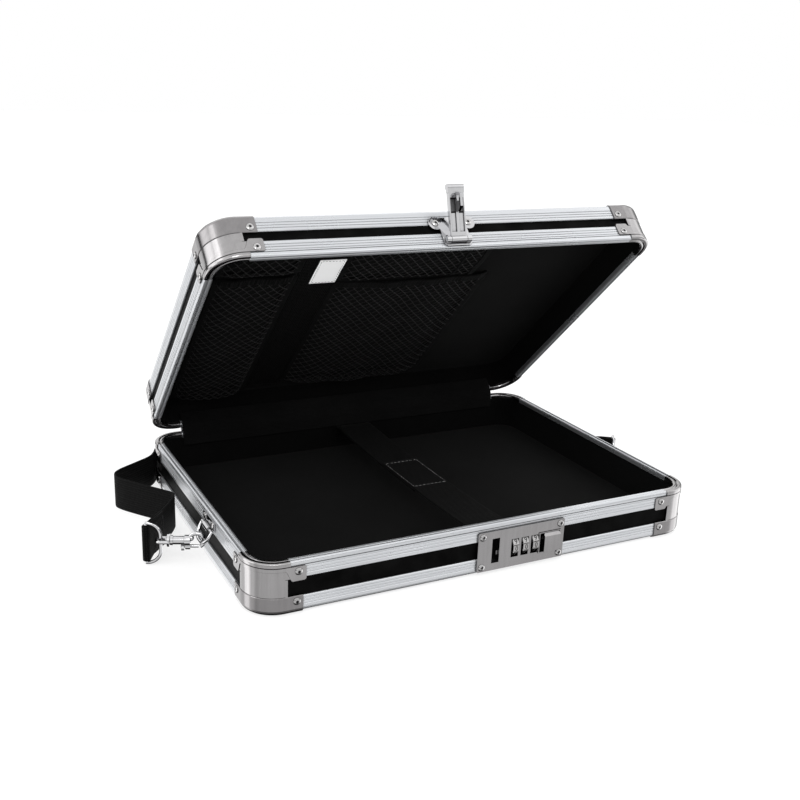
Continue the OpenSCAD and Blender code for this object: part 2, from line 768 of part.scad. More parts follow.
// Lever with rolled eye, stiffening flanges, a grip at its end and the staple behind.
module hasp_lever() {
    color("#c4c5c8") lid_place() hasp_turn() difference() {
        union() {
            translate([latch_x - hasp_w / 2, hasp_y, hasp_z]) rotate([0, 90, 0])
                cylinder(r = hasp_eye_r, h = hasp_w);
            box_at([latch_x - hasp_w / 2, hasp_y - hasp_t / 2, hasp_z - hasp_len + 7],
                [latch_x + hasp_w / 2, hasp_y + hasp_t / 2, hasp_z]);
            for (x = [-1, 1]) translate([latch_x + x * (hasp_w / 2 - 0.7), 0, 0])
                box_at([-0.7, hasp_y - hasp_t / 2 - 1.4, hasp_z - hasp_len + 6],
                    [0.7, hasp_y, hasp_z - 6]);
            // Knurled grip: a roll with six ribs.
            translate([latch_x, hasp_y - 0.6, hasp_z - hasp_len + 7]) {
                translate([-hasp_w / 2 - 0.4, -0.5, -3.4]) rotate([0, 90, 0]) cylinder(r = 2.1, h = hasp_w + 0.8);
                box_at([-hasp_w / 2 - 0.4, -1.6, -5.4], [hasp_w / 2 + 0.4, 1.4, 0.6]);
                for (i = [0:5]) translate([(i - 2.5) * 2.1, -1.6, -5.2]) cylinder(r = 0.7, h = 5.6);
            }
            translate([latch_x + staple_t / 2, 0, 0]) rotate([0, -90, 0])
                linear_extrude(staple_t) polygon([
                    [hasp_z - staple_far + 1, hasp_y],
                    [hasp_z - staple_far, hasp_y + 2],
                    [hasp_z - staple_far, hasp_y + staple_deep - 1.8],
                    [hasp_z - staple_far + 1.2, hasp_y + staple_deep + 0.6],
                    [hasp_z - staple_near - 3.4, hasp_y + staple_deep + 0.6],
                    [hasp_z - staple_near, hasp_y + staple_deep - 3.4],
                    [hasp_z - staple_near, hasp_y]
                ]);
        }
        translate([latch_x - 20, hasp_y, hasp_z]) rotate([0, 90, 0])
            cylinder(r = hasp_pin_r + pin_gap, h = 40);
        // Channels in the back, between the flanges and a middle rib.
        for (x = [-hasp_w / 2 + 0.9, 1.1])
            box_at([latch_x + x, hasp_y - 0.2, hasp_z - hasp_len + 11],
                [latch_x + x + hasp_w / 2 - 2, hasp_y + hasp_t, hasp_z - 5]);
        // The staple's eye, which the bolt's finger enters.
        box_at([latch_x - 5, bolt_y - 0.6, finger_z - 0.8],
            [latch_x + 5, bolt_y + bolt_t + 0.6, finger_z + 3.8]);
    }
}

// ---- hinge -----------------------------------------------------------------------

pitch = hinge_len / knuckles;
leaf_gap = 1.7;

// The knuckles with the given parity (0 for the base's, 1 for the lid's), shut.
module knuckle_row(parity) {
    for (i = [parity:2:knuckles - 1]) {
        x = -hinge_len / 2 + i * pitch;
        translate([x + run_gap / 2, hinge_y, hinge_z]) rotate([0, 90, 0]) difference() {
            cylinder(r = knuckle_r, h = pitch - run_gap, $fn = 24);
            translate([0, 0, -1]) cylinder(r = hinge_pin_r + pin_gap, h = pitch + 2, $fn = 24);
        }
    }
}

// A hinge leaf, shut: its plate on the rear rail and the strips that join the knuckles.
module leaf(parity, dir) {
    hole_z = hinge_z + dir * (leaf_gap + leaf_h / 2);
    difference() {
        union() {
            low = hinge_z + dir * leaf_gap;
            high = hinge_z + dir * (leaf_gap + leaf_h);
            // The plate stops short of the caps' tabs; a strip above them carries on.
            wide = straight_x / 2 - cap_tab - run_gap;
            edge = low + dir * 1.8;
            box_at([-wide, half_d, min(low, high)], [wide, half_d + leaf_t, max(low, high)]);
            box_at([-hinge_len / 2, half_d, min(low, edge)],
                [hinge_len / 2, half_d + leaf_t, max(low, edge)]);
            for (i = [parity:2:knuckles - 1]) {
                x = -hinge_len / 2 + i * pitch + run_gap / 2;
                box_at([x, half_d, min(hinge_z, low)], [x + pitch - run_gap, half_d + leaf_t, max(hinge_z, low)]);
            }
            knuckle_row(parity);
        }
        translate([-hinge_len, hinge_y, hinge_z]) rotate([0, 90, 0])
            cylinder(r = hinge_pin_r + pin_gap, h = 2 * hinge_len, $fn = 24);
        leaf_rivet_spots(dir) translate([0, 0, -4]) cylinder(r = shank_r + pin_gap, h = 8);
    }
}

module leaf_rivet_spots(dir) {
    for (x = [-2:2])
        translate([x * (hinge_len - 30) / 4, half_d + leaf_t, hinge_z + dir * (leaf_gap + leaf_h / 2)])
            rotate([-90, 0, 0]) children();
}

module hinge_base_leaf() { color("#b0b1b4") leaf(0, -1); }
module hinge_lid_leaf() { color("#b0b1b4") lid_place() leaf(1, 1); }

module hinge_pin() {
    color("#8d8f93") translate([-hinge_len / 2, hinge_y, hinge_z]) rotate([0, 90, 0])
        cylinder(r = hinge_pin_r, h = hinge_len, $fn = 24);
}

// Turns a point of the shut lid, given as [y, z], with the lid.
function with_lid(p) =
    let (y = p.x - hinge_y, z = p.y - hinge_z)
    [
        hinge_y + y * cos(lid_open) + z * sin(lid_open),
        hinge_z - y * sin(lid_open) + z * cos(lid_open)
    ];

// Fabric strip inside, from the base's lining to the lid's.
module hinge_cover() {
    face = half_d - rim_in - 0.8;
    path = smooth([
        [face, base_h - cover_reach], [face, base_h - 4], [face, base_h - 0.5],
        (with_lid([face, lid_rim_z + 0.5]) + [face, base_h - 0.5]) / 2 + [-0.3, 0.5],
        with_lid([face, lid_rim_z + 0.5]), with_lid([face, lid_rim_z + 4]),
        with_lid([face, lid_rim_z + cover_reach])
    ], 3);
    color("#101012") translate([-hinge_len / 2, 0, 0]) run(hinge_len) polygon(strip(path, 0.8));
}

// ---- rivets ----------------------------------------------------------------------

module base_rivets() {
    color("#b9b9bb") {
        cap_rivet_spots(BASE) rivet(cap_t, cap_t + skin - 0.1);
        bracket_rivet_spots() rivet(0, bracket_t + skin - 0.1);
        leaf_rivet_spots(-1) rivet(0, leaf_t);
    }
}

module lid_rivets() {
    color("#b9b9bb") {
        lid_shell() cap_rivet_spots(LID) rivet(cap_t, cap_t + skin - 0.1);
        lid_place() {
            hasp_rivet_spots() rivet(base_plate_t, base_plate_t);
            leaf_rivet_spots(1) rivet(0, leaf_t);
            clip_rivet_spots() rivet(0, clip_t);
        }
    }
}

// ---- hold-down strap ----------------------------------------------------------------

hold_z = base_h - 11;
hold_overlap = [-30, 28];

// Height of the strap's lower layer at y, sagging between the two walls.
function hold_height(y) =
    let (mid = (hold_front + hold_back) / 2, half = (hold_back - hold_front) / 2)
    hold_z - hold_sag * (1 - pow((y - mid) / half, 2));

hold_front = house_high.y + hold_t / 2 + 0.2;
hold_back = half_d - in_wall - lining - hold_t / 2 - 0.5;

// Rear half: down the rear wall, then forward under the front half.
module hold_down_rear() {
    path = smooth(concat(
        [[hold_back, hold_z - hold_end], [hold_back, hold_z - hold_end * 0.43], [hold_back - 2.5, hold_z - 0.6]],
        [for (i = [1:6]) let (y = hold_back - 6 - (hold_back - 6 - hold_overlap[0]) * i / 6) [y, hold_height(y)]]
    ), 3);
    color("#17171a") translate([hold_x - hold_w / 2, 0, 0]) run(hold_w) polygon(strip(path, hold_t));
}

// Front half: up the lock housing's face, then back over the rear half.
module hold_down_front() {
    lift = hold_t + 0.15;
    path = smooth(concat(
        [[hold_front, hold_z - hold_end], [hold_front, hold_z - hold_end * 0.43], [hold_front + 2.5, hold_z + lift - 0.6]],
        [for (i = [1:7]) let (y = hold_front + 6 + (hold_overlap[1] - hold_front - 6) * i / 7)
            [y, hold_height(y) + lift]]
    ), 3);
    color("#1d1d20") translate([hold_x - hold_w / 2, 0, 0]) run(hold_w) polygon(strip(path, hold_t));
}

// ---- lid organiser, drawn in the lid's shell frame ----------------------------------

org_z = floor_top + lining;
org_front = -half_d + in_wall + lining;
left_x = -half_w + pocket_side;
divider_x = left_x + pocket_left_w + 1;
right_x = divider_x + divider_w + 1;
mouth_y = -half_d + 66;
foot_y = half_d - pocket_foot;

// Side outline of a pocket from its mouth to its foot, off the lining.
function pocket_path(y0, y1, mouth, deep) = [
    [y0, org_z + mouth], [y0 + (y1 - y0) * 0.5, org_z + deep * 0.8],
    [y1 - deep * 0.8, org_z + deep], [y1 - 1, org_z + deep * 0.55], [y1, org_z + mesh_t / 2 + 0.1]
];

// A pocket sheet of width w from x, with gussets that close its sides.
module pocket(x, w, y0, y1, mouth, deep) {
    path = pocket_path(y0, y1, mouth, deep);
    closed = concat(path, [[y0, org_z + mesh_t / 2 + 0.1]]);
    lid_shell() {
        translate([x, 0, 0]) run(w) polygon(strip(path, mesh_t));
        for (side = [x, x + w - mesh_t]) translate([side, 0, 0]) run(mesh_t) polygon(closed);
    }
}

module pocket_small() {
    color("#2a2a2e") pocket(left_x, pocket_left_w, org_front + 8, mouth_y - 4, 5, 6);
}

module pocket_left() {
    color("#2a2a2e") pocket(left_x, pocket_left_w, mouth_y, foot_y, 6, pocket_deep);
}

// The main pocket, and a low sleeve in front of its mouth. The sleeve is sewn down along
// both its long edges, shut at the divider and at a seam, and open at its right end.
module pocket_right() {
    near = org_front + 8;
    far = mouth_y + 12;
    low = org_z + mesh_t / 2 + 0.1;
    path = [
        [near, low], [near + 5, org_z + 4.2], [(near + far) / 2, org_z + 6],
        [far - 5, org_z + 4.2], [far, low]
    ];
    color("#2a2a2e") {
        pocket(right_x, pocket_right_w, mouth_y + 14, foot_y - 8, 6, pocket_deep);
        lid_shell() {
            translate([right_x, 0, 0]) run(sleeve_w) polygon(strip(path, mesh_t));
            for (x = [0, sleeve_w - 18]) translate([right_x + x, 0, 0]) run(mesh_t) polygon(path);
        }
    }
}

module pocket_divider() {
    color("#0b0b0d") lid_shell()
        box_at([divider_x, org_front + 8, org_z], [divider_x + divider_w, foot_y, org_z + 1.6]);
}

module blank_label() {
    right = divider_x + divider_w;
    color("#f2f2f0") lid_shell()
        box_at([right - label_w, org_front + label_in, org_z + 1.6],
            [right, org_front + label_in + label_l, org_z + 2]);
}

// ---- clipboard clip ------------------------------------------------------------------

clip_x = half_w - clip_inset;
clip_z = lid_face_z + clip_pin_h;
ear_y = clip_len * 0.34;
ear_t = 1.6;

module clip_rivet_spots() {
    for (x = [-12, 8], y = [-1, 1])
        translate([clip_x + x, y * clip_len * 0.42, lid_face_z + clip_t]) children();
}

// Base plate with two upright ears that carry the pin.
module clip_base() {
    color("#c8c9cc") lid_place() difference() {
        union() {
            translate([clip_x - 2, 0, lid_face_z]) rounded_plate(clip_base_w, clip_len, 5, clip_t);
            for (y = [-1, 1]) translate([clip_x, y * ear_y, lid_face_z]) rotate([90, 0, 0])
                translate([0, 0, -ear_t / 2]) linear_extrude(ear_t) {
                    translate([0, clip_pin_h]) circle(3.4);
                    polygon([[-6.5, 0], [6.5, 0], [3.4, clip_pin_h], [-3.4, clip_pin_h]]);
                }
        }
        translate([clip_x, -clip_len, clip_z]) rotate([-90, 0, 0])
            cylinder(r = clip_pin_r + pin_gap, h = 2 * clip_len);
        clip_rivet_spots() translate([0, 0, -6]) cylinder(r = shank_r + pin_gap, h = 12);
    }
}

module clip_pin() {
    length = 2 * ear_y + ear_t + 2;
    color("#8d8f93") lid_place() translate([clip_x, -length / 2, clip_z]) rotate([-90, 0, 0])
        cylinder(r = clip_pin_r, h = length);
}

jaw_len = clip_len - 6;
// Side path of the jaw: pressed edge, arched back and raised thumb lever.
jaw_path = smooth([
    [clip_x - clip_reach + 3.4, lid_face_z + 2.6], [clip_x - clip_reach, lid_face_z + 3.4],
    [clip_x - clip_reach + 2, lid_face_z + 6.4], [clip_x - clip_reach * 0.6, clip_z + 3.8],
    [clip_x - 6, clip_z + 4.6], [clip_x + 6, clip_z + 4.8], [clip_x + 14, clip_z + 6.6],
    [clip_x + 20, clip_z + 9.4]
], 4);

module clip_jaw() {
    lug_y = ear_y - ear_t / 2 - run_gap - 1.4;
    color("#d2d3d6") lid_place() difference() {
        union() {
            translate([0, jaw_len / 2, 0]) rotate([90, 0, 0]) linear_extrude(jaw_len)
                polygon(strip(jaw_path, clip_t));
            for (y = [-1, 1]) translate([clip_x, y * (lug_y + 0.7), clip_z]) rotate([90, 0, 0])
                translate([0, 0, -0.7]) linear_extrude(1.4) {
                    circle(3.2);
                    polygon([[-3.2, 0], [3.2, 0], [5.6, 5.2], [-5.6, 4.9]]);
                }
        }
        translate([clip_x, -clip_len, clip_z]) rotate([-90, 0, 0])
            cylinder(r = clip_pin_r + pin_gap, h = 2 * clip_len);
    }
}

// Rubber strip that the jaw's edge wears.
module clip_grip() {
    color("#1a1a1c") lid_place()
        translate([0, jaw_len / 2 - grip_in, 0]) rotate([90, 0, 0])
            linear_extrude(jaw_len - 2 * grip_in)
            polygon([
                [clip_x - clip_reach + 1.4, lid_face_z + 0.3], [clip_x - clip_reach + 6.4, lid_face_z + 0.3],
                [clip_x - clip_reach + 6.8, lid_face_z + 1.7], [clip_x - clip_reach + 1.2, lid_face_z + 1.7]
            ]);
}

// Torsion spring round the pin, with a leg under the jaw and one on the base.
module clip_spring() {
    turns = 7;
    coil_r = clip_pin_r + 1.5;
    wire = 0.6;
    steps = 12;
    n = turns * steps;
    sides = 6;
    spread = 14;
    rings = [for (i = [0:n]) let (a = 360 * i / steps, y = spread * (i / n - 0.5))
        [for (k = [0:sides - 1]) let (b = 360 * k / sides, r = coil_r + wire * cos(b))
            [r * cos(a), y + wire * sin(b), r * sin(a)]]];
    color("#7f8186") lid_place() translate([clip_x, 0, clip_z]) sweep(rings);
}

// Closed skin over rings of points, each anticlockwise as seen from the path's far end.
module sweep(rings) {
    n = len(rings);
    m = len(rings[0]);
    points = [for (r = rings, p = r) p];
    walls = [for (i = [0:n - 2], k = [0:m - 1])
        let (a = i * m + k, b = i * m + (k + 1) % m)
        each [[a, b + m, b], [a, a + m, b + m]]];
    caps = [[for (k = [0:m - 1]) k], [for (k = [m - 1:-1:0]) (n - 1) * m + k]];
    polyhedron(points, concat(walls, caps));
}

// ---- strap rings and hooks -------------------------------------------------------------

bracket_t = 1;
bracket_w = 26;
ring_axis_x = half_w + bracket_t + ring_wire + pin_gap;
ring_axis_z = base_h - 10;
ring_mid_y = half_d - ring_back;
bow_x = ring_axis_x + ring_depth * sin(ring_hang);
bow_z = ring_axis_z - ring_depth * cos(ring_hang);

module bracket_rivet_spots() {
    for (side = [-1, 1], y = [-1, 1])
        translate([side * (half_w + bracket_t), ring_mid_y + y * (bracket_w / 2 - 4.2), ring_axis_z + 4.6])
            rotate([0, side * 90, 0]) children();
}

// Runs a piece built for the right side, or its mirror image on the left.
module on_side(side) {
    if (side > 0) children();
    else mirror([1, 0, 0]) children();
}

// Plate on the rim rail with a knuckle that holds the ring's straight leg.
module ring_bracket(side) {
    eye_r = ring_wire + pin_gap + bracket_t;
    eye_w = ring_w * 0.55;
    color("#b3b3b6") difference() {
        on_side(side) union() {
            box_at([half_w, ring_mid_y - bracket_w / 2, ring_axis_z + 1.4],
                [half_w + bracket_t, ring_mid_y + bracket_w / 2, ring_axis_z + 7.6]);
            box_at([half_w, ring_mid_y - eye_w / 2, ring_axis_z],
                [half_w + bracket_t, ring_mid_y + eye_w / 2, ring_axis_z + 2]);
            translate([ring_axis_x, ring_mid_y - eye_w / 2, ring_axis_z]) rotate([-90, 0, 0])
                cylinder(r = eye_r, h = eye_w);
        }
        on_side(side) translate([ring_axis_x, ring_mid_y - ring_w, ring_axis_z]) rotate([-90, 0, 0])
            cylinder(r = ring_wire + pin_gap, h = 2 * ring_w);
        bracket_rivet_spots() translate([0, 0, -4]) cylinder(r = shank_r + pin_gap, h = 8);
    }
}

// A D of round wire: its straight leg along Y through the origin and its bow at +X.
module wire_dee(inside, depth, wire) {
    bend = min(depth, inside / 2) - 0.5;
    half = inside / 2 + wire;
    translate([0, -half, 0]) rotate([-90, 0, 0]) cylinder(r = wire, h = 2 * half);
    for (side = [-1, 1]) translate([0, side * half, 0]) {
        sphere(wire);
        rotate([0, 90, 0]) cylinder(r = wire, h = depth - bend);
        translate([depth - bend, -side * bend, 0]) rotate([0, 0, side > 0 ? 0 : -90])
            rotate_extrude(angle = 90) translate([bend, 0]) circle(wire, $fn = 24);
    }
    translate([depth, -half + bend, 0]) rotate([-90, 0, 0]) cylinder(r = wire, h = 2 * (half - bend));
}

module strap_ring(side) {
    color("#c4c5c8") on_side(side) translate([ring_axis_x, ring_mid_y, ring_axis_z])
        rotate([0, 90 - ring_hang, 0]) wire_dee(ring_w, ring_depth, ring_wire);
}

// The hook's own frame: +X from its jaw to its swivel, its jaw in the XZ plane.
jaw_wire = 1.5;
jaw_r = 5.2;
jaw_x = jaw_r + jaw_wire;
gate_z = -barrel_r - 1.5;
gate_r = 1.2;
barrel_x = 2 * jaw_x - 1.4;
stud_r = 1.2;
collar = [hook_len + run_gap, hook_len + 2];
eye_bend = 3.8;
eye_x = hook_len + 5.6;
eye_wire = 1.2;
dee_x = eye_x + eye_bend - eye_wire - dee_wire - run_gap;
function turn_of(side) = side > 0 ? hook_right_turn : hook_left_turn;
// The left hook pulls at the ring's bow. The right one has slid into the ring's rear bend,
// so it is rolled to sit across the wire there.
function slid_of(side) = side > 0 ? 45 : 0;
function roll_of(side) = side > 0 ? 40 : 0;
// Where the ring's wire crosses the jaw, so that the jaw's end is a gap away from it.
function ring_at(side) = jaw_wire + (jaw_wire + ring_wire + run_gap)
    / (side > 0 ? 0.88 : cos(hook_left_turn));
ring_bend = min(ring_depth, ring_w / 2) - 0.5;
function pull_depth(side) = ring_depth - ring_bend * (1 - cos(slid_of(side)));
function pull_point(side) = [
    ring_axis_x + pull_depth(side) * sin(ring_hang),
    ring_mid_y + (side > 0 ? ring_w / 2 + ring_wire - ring_bend * (1 - sin(slid_of(side))) : 0),
    ring_axis_z - pull_depth(side) * cos(ring_hang)
];

// Puts the hook's frame at its ring, turned towards the hinge and then rolled.
module hook_place(side, roll) {
    on_side(side) translate(pull_point(side)) rotate([0, 0, turn_of(side)]) rotate([roll, 0, 0])
        translate([-ring_at(side), 0, 0]) children();
}

module snap_hook(side) {
    color("#c4c5c8") hook_place(side, roll_of(side)) difference() {
        union() {
            translate([jaw_x, 0, 0]) rotate([90, 0, 0]) rotate([0, 0, 28])
                rotate_extrude(angle = 212) translate([jaw_r, 0]) circle(jaw_wire, $fn = 24);
            translate([barrel_x - 1, 0, 0]) rotate([0, 90, 0]) cylinder(r = barrel_r, h = hook_len - barrel_x + 1);
            translate([barrel_x - 1.5, 0, 1.6]) sphere(2.1);
            translate([barrel_x - 1, 0, 0]) rotate([0, 90, 0]) cylinder(r = barrel_r + 0.8, h = 4);
            translate([barrel_x - 1, 0, gate_z]) rotate([0, 90, 0]) cylinder(r = gate_r + 1.2, h = 3.6);
            translate([hook_len - 2, 0, 0]) rotate([0, 90, 0]) cylinder(r = barrel_r + 0.5, h = 2);
            translate([hook_len - 1, 0, 0]) rotate([0, 90, 0]) cylinder(r = stud_r, h = 4.2);
            translate([collar[1] + 0.2, 0, 0]) rotate([0, 90, 0]) cylinder(r = 2.1, h = 1.2);
        }
        translate([barrel_x - 4, 0, gate_z]) rotate([0, 90, 0]) cylinder(r = gate_r + pin_gap, h = 20);
    }
}

// Spring bolt that shuts the jaw, with its thumb knob.
module hook_gate(side) {
    tip = jaw_x + jaw_r * cos(240) + 1.2;
    knob = barrel_x + 3.2;
    color("#b8b9bc") hook_place(side, roll_of(side)) {
        translate([tip, 0, gate_z]) rotate([0, 90, 0]) cylinder(r = gate_r, h = knob + 2.6 - tip);
        translate([knob, 0, gate_z - 1.2]) rotate([0, 90, 0]) cylinder(r = 2.1, h = 2.2);
    }
}

// Swivel: a collar on the hook's stud and an eye for the strap's ring.
module hook_swivel(side) {
    color("#c4c5c8") hook_place(side, 0) difference() {
        union() {
            translate([collar[0], 0, 0]) rotate([0, 90, 0]) cylinder(r = 4.6, h = collar[1] - collar[0]);
            for (y = [-1, 1]) translate([collar[1] - 1, y * eye_bend, 0]) rotate([0, 90, 0])
                cylinder(r = eye_wire, h = eye_x - collar[1] + 1);
            translate([eye_x, 0, 0]) rotate([0, 0, -90]) rotate_extrude(angle = 180)
                translate([eye_bend, 0]) circle(eye_wire, $fn = 24);
        }
        translate([collar[0] - 2, 0, 0]) rotate([0, 90, 0]) cylinder(r = stud_r + pin_gap, h = 5);
    }
}

// The ring in the end of the strap: its bow is in the swivel's eye, its leg upright.
dee_half = web_w / 2 + 0.4 + 2 * dee_wire;
dee_z = dee_half + 0.2;

module strap_dee(side) {
    color("#c4c5c8") hook_place(side, 0)
        translate([dee_x + dee_depth, 0, dee_z - pull_point(side).z]) rotate([90, 0, 180])
            wire_dee(web_w + 0.8, dee_depth, dee_wire);
}

// ---- shoulder strap ----------------------------------------------------------------

// Where the upright leg of each strap ring stands, seen from above.
function leg_at(side) =
    let (p = pull_point(side), reach = dee_x + dee_depth - ring_at(side), t = turn_of(side))
    [side * (p.x + reach * cos(t)), p.y + reach * sin(t)];

left_leg = leg_at(-1);
right_leg = leg_at(1);
wrap_r = dee_wire + 0.1 + web_t / 2;
layer = web_t + 0.15;
rear_y = half_d + 11;
right_run = half_w + 8;

// Half a turn round a leg; a0 is the angle where the webbing meets it.
function wrap(c, a0, a1) = [for (i = [0:6]) c + wrap_r * [cos(a0 + (a1 - a0) * i / 6), sin(a0 + (a1 - a0) * i / 6)]];

// Seen from above: sewn end, left ring, folds beside the case, rear and right ring, then
// back along the outside to the adjuster.
left_way = unit([-half_w - 9, half_d - 110] - left_leg);
left_turn = atan2(left_way.y, left_way.x);
right_in = [right_run + 2.5, right_leg.y + 12.7];
right_way = unit(right_in - right_leg);
right_turn = atan2(right_way.y, right_way.x);
adjuster_y = rear_y + 1;
// The folds on the left, as distances out from the side wall and forward from the rear.
left_folds = [
    [10, 110], [8, 103], [12, 96], [27, 76], [38, 60], [40.5, 51],
    [36, 42], [20, 31], [7, 22], [1, 14], [-6, 0]
];
web_path = concat(
    [
        left_leg + 30 * left_way - layer * side_of(left_way),
        left_leg + 10 * left_way - (layer - 0.6) * side_of(left_way)
    ],
    wrap(left_leg, left_turn - 90, left_turn - 270),
    smooth([
        left_leg + 10 * left_way + 0.6 * side_of(left_way), left_leg + 31 * left_way,
        left_leg + 46 * left_way, each [for (f = left_folds) [-half_w - f.x, half_d - f.y]],
        [-half_w + 20, rear_y - 1], [-half_w + 44, rear_y], [-60, rear_y], [0, rear_y + 0.7],
        [adjuster_x - 25, adjuster_y], [adjuster_x, adjuster_y], [adjuster_x + 25, adjuster_y],
        [half_w - 26, rear_y], [half_w - 6, rear_y - 8], [right_run, rear_y - 30],
        [right_run, half_d - 62], [right_run, right_leg.y + 34.7], right_in,
        right_leg + 10 * right_way + 0.6 * side_of(right_way)
    ], 3),
    wrap(right_leg, right_turn + 90, right_turn + 270)
);
back_from = min([
    for (i = [0:len(web_path) - 1])
        if (web_path[i].x > adjuster_x + 3 && web_path[i].y > half_d) i
]);
back_path = concat(
    [right_leg + 10 * right_way - (layer - 0.6) * side_of(right_way)],
    [for (i = [len(web_path) - 9:-1:back_from]) offset_at(web_path, i, layer)]
);

// Height of the webbing's lower edge: on the floor, but raised where it passes a fitting.
function lift_at(p) =
    let (d = min(norm(p - left_leg), norm(p - right_leg), norm(p - [adjuster_x, adjuster_y])))
    (dee_z - web_w / 2) * pow(max(0, 1 - max(0, d - 12) / 45), 2);

// Webbing that stands on its edge and follows a path seen from above.
module webbing(path) {
    sweep([for (i = [0:len(path) - 1])
        let (a = offset_at(path, i, web_t / 2), b = offset_at(path, i, -web_t / 2), z = lift_at(path[i]))
        [[a.x, a.y, z], [a.x, a.y, z + web_w], [b.x, b.y, z + web_w], [b.x, b.y, z]]]);
}

module strap_webbing() {
    color("#1b1b1e") webbing(concat(web_path, back_path));
}

// Metal slide: rails above and below the webbing, joined by bars on both its faces.
module strap_adjuster() {
    low = dee_z - web_w / 2 - 0.3;
    high = dee_z + web_w / 2 + 0.3;
    near = adjuster_y - web_t / 2 - 0.3;
    far = adjuster_y + layer + web_t / 2 + 0.3;
    color("#b8b9bc") {
        for (z = [low - 2.3, high])
            box_at([adjuster_x - 11, near - 1.8, z], [adjuster_x + 11, far + 1.8, z + 2.3]);
        box_at([adjuster_x - 2, near - 1.8, low - 1], [adjuster_x + 2, near, high + 1]);
        for (x = [-11, 8.2])
            box_at([adjuster_x + x, far, low - 1], [adjuster_x + x + 2.8, far + 1.8, high + 1]);
    }
}

module ring_bracket_left() { ring_bracket(-1); }
module ring_bracket_right() { ring_bracket(1); }
module strap_ring_left() { strap_ring(-1); }
module strap_ring_right() { strap_ring(1); }
module snap_hook_left() { snap_hook(-1); }
module snap_hook_right() { snap_hook(1); }
module hook_gate_left() { hook_gate(-1); }
module hook_gate_right() { hook_gate(1); }
module hook_swivel_left() { hook_swivel(-1); }
module hook_swivel_right() { hook_swivel(1); }
module strap_dee_left() { strap_dee(-1); }
module strap_dee_right() { strap_dee(1); }

base_floor_board();
base_wall_boards();
base_corner_posts();
base_lower_rails();
base_rim_rails();
base_lower_caps();
base_upper_caps();
base_rivets();
base_lining();
hinge_base_leaf();
hinge_pin();
hinge_cover();
hold_down_rear();
hold_down_front();
lock_plate();
lock_screws();
lock_housing();
dial_shaft();
dial_1();
dial_2();
dial_3();
lock_button();
lock_bolt();
ring_bracket_left();
ring_bracket_right();
strap_ring_left();
strap_ring_right();
snap_hook_left();
snap_hook_right();
hook_gate_left();
hook_gate_right();
hook_swivel_left();
hook_swivel_right();
strap_dee_left();
strap_dee_right();
strap_webbing();
strap_adjuster();
lid_board();
lid_wall_boards();
lid_corner_posts();
lid_outer_rails();
lid_rim_rails();
lid_outer_caps();
lid_inner_caps();
lid_rivets();
lid_lining();
hinge_lid_leaf();
pocket_small();
pocket_left();
pocket_right();
pocket_divider();
blank_label();
hasp_base();
hasp_pin();
hasp_lever();
clip_base();
clip_pin();
clip_jaw();
clip_spring();
clip_grip();
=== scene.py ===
# %% [markdown]
# # A clipboard case, dressed
# The solids of the case are already built and packed. This notebook loads them as a fixed
# frame, gives every one of them a finish, and makes the soft and fine pieces that solids
# cannot show: woven straps, netting, stitched bindings and numbered dials. New shapes are
# arrays of points worked out with numpy, so each is one formula and no vertex is placed
# by hand.

import math

import bpy
import numpy as np
from mathutils import Matrix


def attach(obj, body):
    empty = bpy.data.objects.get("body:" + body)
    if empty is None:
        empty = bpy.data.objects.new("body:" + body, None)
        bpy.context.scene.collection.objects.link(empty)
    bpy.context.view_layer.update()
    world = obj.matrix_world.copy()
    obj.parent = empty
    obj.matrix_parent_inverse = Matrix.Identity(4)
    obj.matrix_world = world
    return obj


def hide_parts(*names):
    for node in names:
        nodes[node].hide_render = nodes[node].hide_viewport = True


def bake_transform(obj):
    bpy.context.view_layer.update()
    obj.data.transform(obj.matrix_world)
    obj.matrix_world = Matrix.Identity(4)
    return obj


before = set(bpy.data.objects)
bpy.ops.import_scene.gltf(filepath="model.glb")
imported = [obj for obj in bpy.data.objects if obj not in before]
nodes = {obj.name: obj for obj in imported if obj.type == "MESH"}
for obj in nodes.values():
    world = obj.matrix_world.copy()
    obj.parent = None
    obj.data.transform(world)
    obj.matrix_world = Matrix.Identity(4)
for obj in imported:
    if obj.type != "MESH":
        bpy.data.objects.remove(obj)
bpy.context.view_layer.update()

# %% [markdown]
# ## Where things are
# Everything is in metres and shares one origin: the middle of the case's footprint on the
# table, X to the right, Y to the hinge, Z up. The lid is easiest to think of in its own
# terms, so `on_lid` takes x, y and the depth below the lid's outer face, and swings the
# point to where the lid stands.

# %% Sizes of the case, in metres
MM = 0.001
HALF_W = 180 * MM
HALF_D = 132 * MM
LID_H = 33 * MM
HINGE_Y = 134.2 * MM
HINGE_Z = 38.2 * MM
LID_TOP = 71.4 * MM
LID_OPEN = math.radians(43.4)
LINING_TOP = 6.4 * MM


def swing(points, y, z, angle):
    """Points turned by an angle about the line along X that passes through y and z."""
    dy, dz = points[..., 1] - y, points[..., 2] - z
    c, s = math.cos(angle), math.sin(angle)
    return np.stack([points[..., 0], y + dy * c - dz * s, z + dy * s + dz * c], axis=-1)


def opened(points):
    """Points of the shut lid, moved to where the lid stands."""
    return swing(points, HINGE_Y, HINGE_Z, -LID_OPEN)


def on_lid(x, y, depth):
    """Points of the lid where it stands, depth being measured down from its outer face."""
    x, y, depth = np.broadcast_arrays(*(np.asarray(a, float) for a in (x, y, depth)))
    return opened(np.stack([x, y, LID_TOP - depth], axis=-1))


print("front edge of the open lid", np.round(on_lid(0, -HALF_D, LID_H), 4))

# %% [markdown]
# ## The camera
# A camera is a place and a rotation. The rotation's columns are the directions that the
# picture calls right, up and backwards. The lens is the focal length for a 36 mm sensor.

